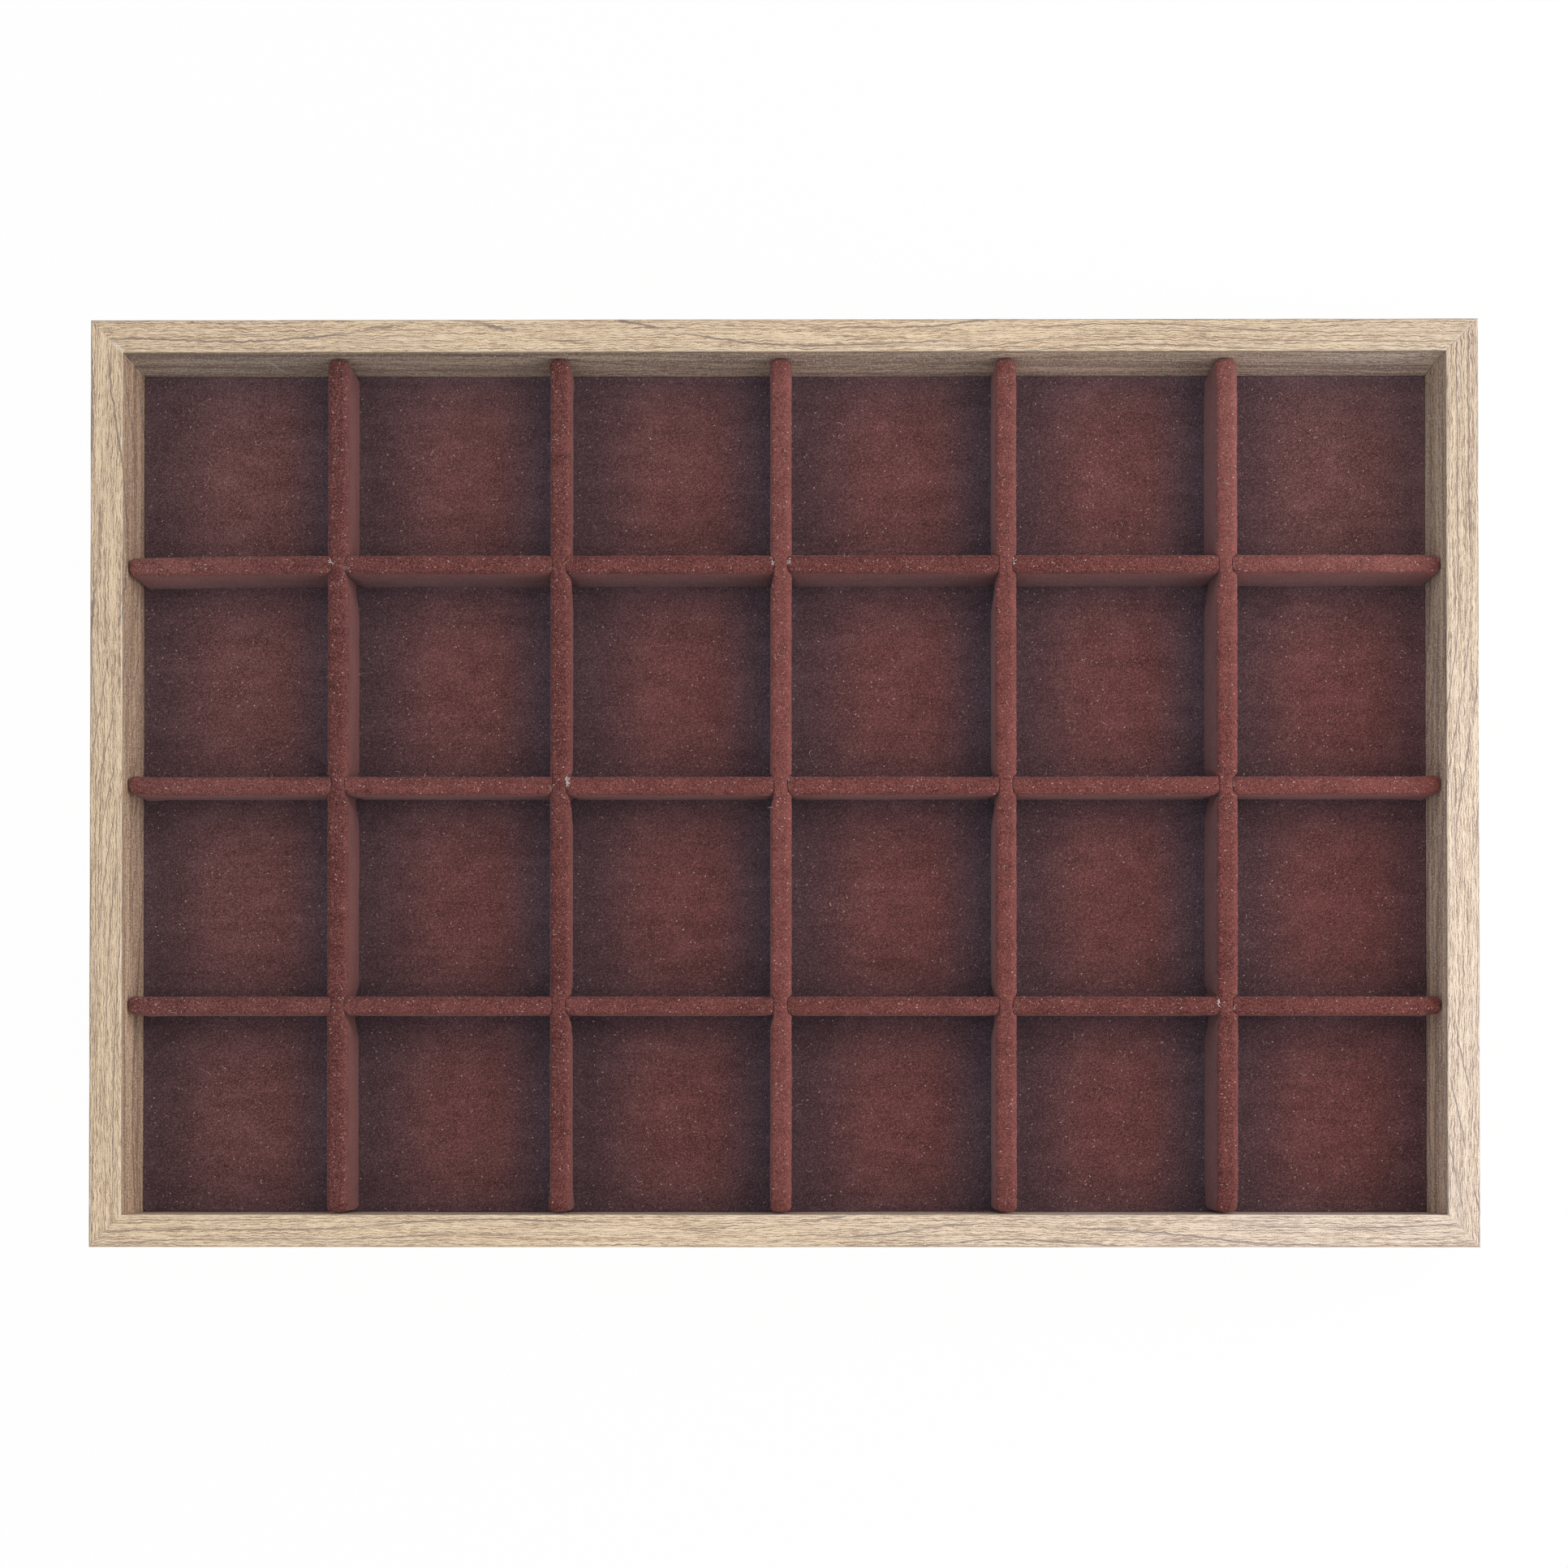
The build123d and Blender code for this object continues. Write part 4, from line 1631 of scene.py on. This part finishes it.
def divider_sleeve(
    name,
    node,
    body,
    length,
    half,
    stations,
    open_up,
    lean,
    bow,
    slack_side,
    painted_light_lift,
    seed,
    place,
    material,
    looks,
    shape,
):
    """Velvet folded over one divider's card, as a thin shell on a grid of places along it and rows round it.

    The half thickness is the profile's, times a rounded end |u|^p + |v|^p = 1,
    with p the end power, less a smooth pinch at each crossing. The pinch is
    short at the top and long at the foot, and longer to the front on the slack
    side. Beside a slot that opens upwards the corners are quarter ellipses,
    into which the other divider's pile bulges. Between crossings the top leans
    to one side in proportion to its height. The nap adds two smooth random
    fields and a fine one, rougher on the shoulders, along the outward
    direction. Cells inside a crossing's slot are left out, and a rim closes
    the cut."""
    rng = np.random.default_rng(seed)
    profile = divider_profile(half, shape.crown, side_rows=20, crown_rows=9)
    share, z, out_t, out_z, card_t, card_z = profile
    tip = shape.tip_length
    angles = np.linspace(0, math.pi / 2, 8)
    ends = tip * (1 - np.cos(angles))
    cuts = sorted([s - slot_half for s in stations] + [s + slot_half for s in stations])
    body_breaks = [-length / 2 + tip, *cuts, length / 2 - tip]
    step = 0.46 * MM if length < 0.25 else 0.56 * MM
    s = np.concatenate([-length / 2 + ends[:-1], filled(body_breaks, step), length / 2 - ends[::-1][1:]])
    from_end = length / 2 - np.abs(s)
    swell = np.clip(1 - (1 - np.clip(from_end / tip, 0, 1)) ** END_POWER, 0, 1) ** (1 / END_POWER)
    swell[[0, -1]] = 0
    grid_s = s[:, None] + 0 * z[None, :]
    grid_z = z[None, :] + 0 * s[:, None]
    side = np.sign(share)[None, :] + 0 * grid_s
    foot = 1 - (grid_z - divider_low) / (divider_top - divider_low)
    pinch = 0 * grid_s
    corner = 0 * grid_s
    near = np.full_like(grid_s, 1.0)
    for station in stations:
        away = np.abs(grid_s - station)
        for sign in (-1, 1):
            rest = (rng.uniform(1.55, 1.65) + 0.8 * smooth_step(foot, 0, 0.6)) * MM
            slack = rng.uniform(1.5, 4.0) * (sign == slack_side) * (grid_s < station)
            widening = rng.uniform(2.8, 4.0) * foot * (0.15 if open_up else 1.0)
            reach = (rng.uniform(0.85, 1.05) + slack + widening) * MM
            found = 1 - smooth_step(away, rest, rest + reach)
            pinch = np.where(side == sign, np.maximum(pinch, found), pinch)
        cut = np.clip((away - slot_half) / CORNER_REACH, 0, 1)
        rounding = (1 - np.sqrt(1 - (1 - cut) ** 2)) * np.where(grid_s < station, 0.4, 1.0)
        corner = np.maximum(corner, np.where(away > slot_half - 0.01 * MM, rounding, 0))
        near = np.minimum(near, smooth_step(away, 1.8 * MM, 3.0 * MM))
    centre_pinch = (pinch + pinch[:, ::-1]) / 2
    pinch = np.where(side == 0, centre_pinch, pinch)
    if open_up:
        deep = 1 - smooth_step(grid_z, divider_middle, divider_middle + 1.2 * MM)
        depth = deep * (half - pinched_half) + (1 - deep) * np.where(side < 0, 0.35, 0.05) * MM
        corner = corner * CORNER_DEPTH * smooth_step(grid_z, divider_middle, divider_middle + 5 * MM)
    else:
        depth = (half - pinched_half) + 0 * grid_z
        corner = 0 * grid_z
    arc = np.concatenate([[0], np.cumsum(np.hypot(np.diff(share * half), np.diff(z)))])
    arc = arc[None, :] + 0 * grid_s
    nap = lattice_noise(grid_s, arc, 9 * MM, 6 * MM, seed + 1) * 0.7
    nap += lattice_noise(grid_s, arc, 1.7 * MM, 1.3 * MM, seed + 2) * 0.7
    shoulder = smooth_step(grid_z, divider_top - 4 * MM, divider_top - 1.2 * MM)
    shoulder = shoulder * smooth_step(np.abs(share), 0.6, 0.9)
    nap += rng.uniform(-0.8, 0.8, grid_s.shape) * (1 + 2.2 * shoulder)
    nap *= looks.nap_height * (1 - 0.65 * pinch) * np.minimum(1, from_end / tip)[:, None]
    nap *= 1 - 0.7 * np.minimum(corner / (0.3 * MM), 1)
    half_here = (half - depth * pinch - corner) * swell[:, None]
    squared = np.sign(share)[None, :] * np.abs(share)[None, :] ** (1 - (0.0 if open_up else 0.8) * pinch)
    height_share = (grid_z - divider_middle) / (divider_top - divider_middle)
    t = squared * half_here + lean * height_share * near * np.minimum(1, from_end / (6 * MM))[:, None]
    t -= bow * smooth_step(-grid_s, -stations[0] + 4 * MM, length / 2)
    t += out_t[None, :] * nap
    crown_share = smooth_step(grid_z, divider_top - shape.crown, divider_top)
    drop = 0.45 * MM * (1 - swell[:, None]) * crown_share
    if open_up:
        for station in stations:
            cut = np.abs(grid_s - station) - slot_half
            sunk = 0.08 * MM * np.exp(-np.maximum(cut, 0) / (0.4 * MM))
            drop += np.where(cut > -0.1 * MM, sunk, 0) * crown_share
    else:
        drop += 0.12 * MM * pinch * crown_share
    up = grid_z - drop + out_z[None, :] * nap
    outer = np.stack([grid_s, t, up], axis=2)
    core_end = length / 2 - end_cover
    inner_s = np.clip(grid_s, -core_end - 0.02 * MM, core_end + 0.02 * MM)
    closing = np.clip(from_end / end_cover, 0, 1)[:, None]
    inner_t = card_t[None, :] * closing
    inner = np.stack([inner_s, inner_t, card_z[None, :] + 0 * grid_s], axis=2)
    columns, rows = grid_s.shape
    index = np.arange(columns * rows).reshape(columns, rows)
    for end in (0, -1):
        index[end, rows // 2 + 1 :] = index[end, : rows // 2][::-1]
        outer[end, :, 1] = 0
    middle_s = (s[:-1] + s[1:]) / 2
    middle_z = (z[:-1] + z[1:]) / 2
    in_slot = np.zeros((columns - 1, rows - 1), bool)
    for station in stations:
        inside = np.abs(middle_s - station) < slot_half
        if open_up:
            in_slot |= inside[:, None] & (middle_z > divider_middle - half_lap_play)[None, :]
        else:
            in_slot |= inside[:, None] & (middle_z < divider_middle + half_lap_play)[None, :]
    faces = shell_faces(index, columns * rows, ~in_slot, True)
    points = np.concatenate([outer.reshape(-1, 3), inner.reshape(-1, 3)])
    if body == "cross_dividers":
        points = points + np.array([0, place, 0])
    else:
        points = np.stack([place - points[:, 1], points[:, 0], points[:, 2]], axis=1)
    # Painted shade on the dividers: a little low down, and more on the side that faces away from the light,
    # which is the front of each cross divider, strongest at its foot, and the left of each long divider.
    low_share = 1 - smooth_step(points[:, 2], divider_low, divider_top - 3 * MM)
    # The lit sides are painted light: on the cross dividers the front towards the top, and on the long
    # dividers most of all the side that faces the light, with some on the other side.
    if open_up:
        lit_side = 1.1 * (1 - foot) * smooth_step(-squared, 0.9, 1.0)
        painted_side_shade = (0.08 + 0.46 * foot) * smooth_step(-squared, 0.9, 1.0)
    else:
        lit_side = smooth_step(-squared, 0.2, 1.0) * (1.1 + 0.9 * foot)
        lit_side = lit_side + 1.2 * smooth_step(squared, 0.9, 1.0)
        painted_side_shade = 0.42 * smooth_step(squared, 0.9, 1.0)
    painted_side_share = np.tile(shape.side_painted_light * lit_side.ravel(), 2)
    values = {
        "bloom_share": looks.divider_painted_shade * low_share + np.tile(painted_side_shade.ravel(), 2),
        "cool_share": np.ones(len(points)),
        "dust": dust(points[:, 0], points[:, 1]),
        "pile_lift": painted_light_lift + painted_light_by_place(points[:, 0], points[:, 1]) + painted_side_share,
    }
    piece = new_piece(name, points, faces, body, material, values, sharp_degrees=60)
    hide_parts(node)


class TRAY_OT_cross_dividers(bpy.types.Operator):
    """Fold the velvet over the three cross dividers"""

    bl_idname = "tray.cross_dividers"
    bl_label = "Cross dividers"

    def execute(self, context):
        scene = context.scene
        looks = scene.tray_velvet
        shape = scene.tray_dividers
        material = divider_velvet("cross divider velvet", looks)
        for i, place in zip(CROSS_DIVIDERS, cross_places):
            divider_sleeve(
                name=f"cross_divider_pile_{i}",
                node=f"cross_divider_velvet_{i}",
                body="cross_dividers",
                length=cross_length,
                half=cross_half,
                stations=long_places,
                open_up=True,
                lean=shape.cross_lean[i - 1],
                bow=shape.back_bow if i == CROSS_DIVIDERS[-1] else 0.0,
                slack_side=0,
                painted_light_lift=shape.cross_painted_light[i - 1],
                seed=CROSS_DIVIDER_SEED + 10 * i,
                place=place,
                material=material,
                looks=looks,
                shape=shape,
            )
        return {"FINISHED"}


class TRAY_OT_long_dividers(bpy.types.Operator):
    """Fold the velvet over the five long dividers"""

    bl_idname = "tray.long_dividers"
    bl_label = "Long dividers"

    def execute(self, context):
        scene = context.scene
        looks = scene.tray_velvet
        shape = scene.tray_dividers
        material = divider_velvet("long divider velvet", looks)
        for i, place in zip(LONG_DIVIDERS, long_places):
            divider_sleeve(
                name=f"long_divider_pile_{i}",
                node=f"long_divider_velvet_{i}",
                body=f"long_divider_{i}",
                length=long_length,
                half=long_half,
                stations=cross_places,
                open_up=False,
                lean=-shape.long_lean[i - 1],
                bow=0.0,
                slack_side=-1 if place < -10 * MM else 1,
                painted_light_lift=shape.long_painted_light[i - 1],
                seed=LONG_DIVIDER_SEED + 10 * i,
                place=place,
                material=material,
                looks=looks,
                shape=shape,
            )
        return {"FINISHED"}


# Lint
def lint_piece(name, body, starts, lengths, curl, radius, material, rng):
    """Stray fibres: three-sided tubes along arcs that lie nearly flat, tapered at both ends.

    A fibre starts in a random direction and turns steadily by its own bend, so
    its path is the integral of (cos(a + bt), sin(a + bt)). It rises in the
    middle and a little towards one end."""
    count = len(starts)
    rings = 8
    t = np.linspace(0, 1, rings)[None, :]
    angle = rng.uniform(0, 2 * math.pi, count)[:, None]
    bend = (rng.uniform(0.15, 1.0, count) * rng.choice([-1, 1], count))[:, None] * curl
    path = (np.exp(1j * (angle + bend * t)) - np.exp(1j * angle)) / (1j * bend) * lengths[:, None]
    rise = rng.uniform(0.02, 0.16, count)[:, None] * lengths[:, None] * 4 * t * (1 - t)
    rise = rise + rng.uniform(0, 0.12, count)[:, None] * lengths[:, None] * t + 0.4 * radius
    path = starts[:, None, :] + np.stack([path.real, path.imag, rise], axis=2)
    tangent = np.gradient(path, axis=1)
    tangent /= np.linalg.norm(tangent, axis=2, keepdims=True)
    first = np.cross(tangent, np.array([0, 0, 1.0]))
    first /= np.maximum(np.linalg.norm(first, axis=2, keepdims=True), 1e-9)
    second = np.cross(tangent, first)
    taper = radius * (0.35 + 0.65 * np.sin(math.pi * np.clip(t[0], 0.1, 0.9)))
    corners = np.array([0, 2, 4]) * math.pi / 3
    ring = first[:, :, None, :] * np.cos(corners)[None, None, :, None]
    ring = ring + second[:, :, None, :] * np.sin(corners)[None, None, :, None]
    points = path[:, :, None, :] + ring * (rng.uniform(0.7, 1.3, count)[:, None] * taper)[:, :, None, None]
    index = np.arange(count * rings * 3).reshape(count, rings, 3)
    following = np.roll(index, -1, axis=2)
    quads = np.stack([index[:, :-1], following[:, :-1], following[:, 1:], index[:, 1:]], axis=3)
    caps = np.concatenate([index[:, 0, ::-1], index[:, -1, :]])
    faces = [quads.reshape(-1, 4), caps]
    new_piece(name, points.reshape(-1, 3), faces, body, material, sharp_degrees=180)


def lint_material(name, dark, pale):
    """Pale fibre, darker or lighter from one to the next."""
    material, net, surface = new_material(name)
    place = net.add("TexCoord").outputs["Object"]
    spread = net.noise(net.stretched(place, (300, 300, 300)), detail=1)
    tone = net.mixed(net.ramp(spread, 0.35, 0.65), (*dark, 1), (*pale, 1))
    net.principled(surface, {"Base Color": tone, "Roughness": 0.8, "Sheen Weight": 0.2})
    return material


class TRAY_OT_lint(bpy.types.Operator):
    """Scatter stray fibres on the velvet and frayed tufts at the crossings"""

    bl_idname = "tray.lint"
    bl_label = "Lint"

    def floor_lint(self, settings, material, rng):
        """Stray fibres all over the floor, more at the right, and others that have settled by the walls."""
        radius = settings.fibre_radius
        count = settings.floor_fibres
        x = rng.uniform(-1, 1, 2 * count) * (floor_high[0] - 0.6 * MM)
        y = rng.uniform(-1, 1, 2 * count) * (floor_high[1] - 0.6 * MM)
        clear = np.min(edge_distances(x, y), axis=0) > 0.9 * MM
        crowded = rng.uniform(0, 1, 2 * count) < 0.45 + 0.55 * smooth_step(x, -0.05, 0.15)
        keep = np.flatnonzero(clear & crowded)[:count]
        x, y = x[keep], y[keep]
        settled = settings.settled_fibres
        along = rng.uniform(-1, 1, settled)
        inset = rng.exponential(0.5, settled) * MM + 0.25 * MM
        at_back = rng.uniform(0, 1, settled) < 0.6
        at_left = np.where(rng.uniform(0, 1, settled) < 0.6, -1, 1)
        by_wall_x = np.where(at_back, along * (floor_high[0] - 1 * MM), at_left * (floor_high[0] - inset))
        by_wall_y = np.where(at_back, floor_high[1] - inset, along * (floor_high[1] - 1 * MM))
        x = np.concatenate([x, by_wall_x])
        y = np.concatenate([y, by_wall_y])
        starts = np.stack([x, y, np.full(len(x), floor_high[2] - 0.02 * MM)], axis=1)
        lengths = rng.gamma(1.6, 0.36, len(x)) * MM + 0.2 * MM
        lengths[count:] *= 0.6
        lint_piece("lint_on_floor", "tray", starts, lengths, 2.7, radius, material, rng)

    def cross_divider_lint(self, settings, material, rng):
        """Stray fibres along the cross dividers' tops, and a few at each cut."""
        starts = []
        lengths = []
        for place in cross_places:
            s = rng.uniform(-1, 1, settings.divider_fibres * 2) * (cross_length / 2 - 2 * MM)
            t = rng.uniform(-0.8, 0.8, len(s)) * cross_half
            clear = np.min([np.abs(s - x) for x in long_places], axis=0) > 2.9 * MM
            s, t = s[clear], t[clear]
            starts.append(np.stack([s, place + t, np.full(len(s), divider_top - 0.03 * MM)], axis=1))
            lengths.append(rng.gamma(2.0, 0.22, len(s)) * MM + 0.1 * MM)
            for x in long_places:
                for sign in (-1, 1):
                    tuft = min(round(rng.pareto(1.6) * 3 + 2), 12)
                    across = rng.normal(rng.uniform(-1.2, 1.2), 0.35, tuft) * MM
                    out = (slot_half + rng.uniform(0.1, 0.45, tuft) * MM) * sign
                    up = divider_top - rng.uniform(0.02, 0.35, tuft) * MM
                    starts.append(np.stack([x + out, place + across, up], axis=1))
                    lengths.append(rng.uniform(0.25, 0.8, tuft) * MM)
        starts = np.concatenate(starts)
        lengths = np.concatenate(lengths)
        radius = settings.fibre_radius
        lint_piece("lint_on_cross_dividers", "cross_dividers", starts, lengths, 3.0, radius, material, rng)

    def frayed_card(self, settings, looks, rng):
        """White threads of the cross dividers' card, in a tuft at each place that FRAYED names."""
        starts = []
        for (i, j, sign), count in FRAYED.items():
            out = slot_half + np.abs(rng.normal(0.22, 0.1 + 0.003 * count, count)) * MM
            across = rng.normal(0.5, 0.35 + 0.009 * count, count) * MM
            up = divider_top - rng.uniform(-0.05, 0.2, count) * MM
            place = np.stack([long_places[i - 1] + out * sign, cross_places[j - 1] + across, up], axis=1)
            starts.append(place)
        starts = np.concatenate(starts)
        lengths = rng.uniform(0.25, 0.7, len(starts)) * MM
        material = lint_material("frayed card", (0.78, 0.70, 0.68), looks.frayed)
        radius = 1.4 * settings.fibre_radius
        lint_piece("frayed_card", "cross_dividers", starts, lengths, 2.0, radius, material, rng)

    def long_divider_lint(self, settings, material, rng):
        """Stray fibres along each long divider's top, nearer to its middle at the crossings."""
        for i, place in zip(LONG_DIVIDERS, long_places):
            count = settings.divider_fibres
            s = rng.uniform(-1, 1, count) * (long_length / 2 - 2 * MM)
            t = rng.uniform(-0.75, 0.75, count) * long_half
            near = np.min([np.abs(s - y) for y in cross_places], axis=0)
            t = np.where(near < 4 * MM, t * 0.5, t)
            starts = np.stack([place + t, s, np.full(count, divider_top - 0.03 * MM)], axis=1)
            lengths = rng.gamma(2.0, 0.22, count) * MM + 0.1 * MM
            body = f"long_divider_{i}"
            radius = settings.fibre_radius
            lint_piece(f"lint_on_{body}", body, starts, lengths, 3.0, radius, material, rng)

    def execute(self, context):
        settings = context.scene.tray_lint
        looks = context.scene.tray_velvet
        material = lint_material("stray fibres", (0.30, 0.17, 0.16), looks.stray_fibre)
        rng = np.random.default_rng(LINT_SEED)
        self.floor_lint(settings, material, rng)
        self.cross_divider_lint(settings, material, rng)
        self.frayed_card(settings, looks, rng)
        self.long_divider_lint(settings, material, rng)
        return {"FINISHED"}


# Panel, classes and the run
class TRAY_PT_panel(bpy.types.Panel):
    """Buttons for the tray's pieces"""

    bl_idname = "TRAY_PT_panel"
    bl_label = "Display tray"
    bl_space_type = "VIEW_3D"
    bl_region_type = "UI"
    bl_category = "Tray"

    def draw(self, context):
        for step in STEPS:
            self.layout.operator(step.bl_idname)


GROUPS = {
    "tray_stage": TrayStageSettings,
    "tray_boards": TrayBoardSettings,
    "tray_foil": TrayFoilSettings,
    "tray_velvet": TrayVelvetSettings,
    "tray_dividers": TrayDividerSettings,
    "tray_lint": TrayLintSettings,
}
STEPS = (
    TRAY_OT_stage,
    TRAY_OT_board_finishes,
    TRAY_OT_foil_rails,
    TRAY_OT_velvet_floor,
    TRAY_OT_cross_dividers,
    TRAY_OT_long_dividers,
    TRAY_OT_lint,
)


def register():
    for name, settings in GROUPS.items():
        bpy.utils.register_class(settings)
        setattr(bpy.types.Scene, name, PointerProperty(type=settings))
    for step in (*STEPS, TRAY_PT_panel):
        bpy.utils.register_class(step)


def unregister():
    for step in (TRAY_PT_panel, *reversed(STEPS)):
        bpy.utils.unregister_class(step)
    for name, settings in reversed(GROUPS.items()):
        delattr(bpy.types.Scene, name)
        bpy.utils.unregister_class(settings)


def main():
    register()
    bpy.ops.tray.stage()
    bpy.ops.tray.board_finishes()
    bpy.ops.tray.foil_rails()
    bpy.ops.tray.velvet_floor()
    bpy.ops.tray.cross_dividers()
    bpy.ops.tray.long_dividers()
    bpy.ops.tray.lint()


if __name__ == "__main__":
    main()
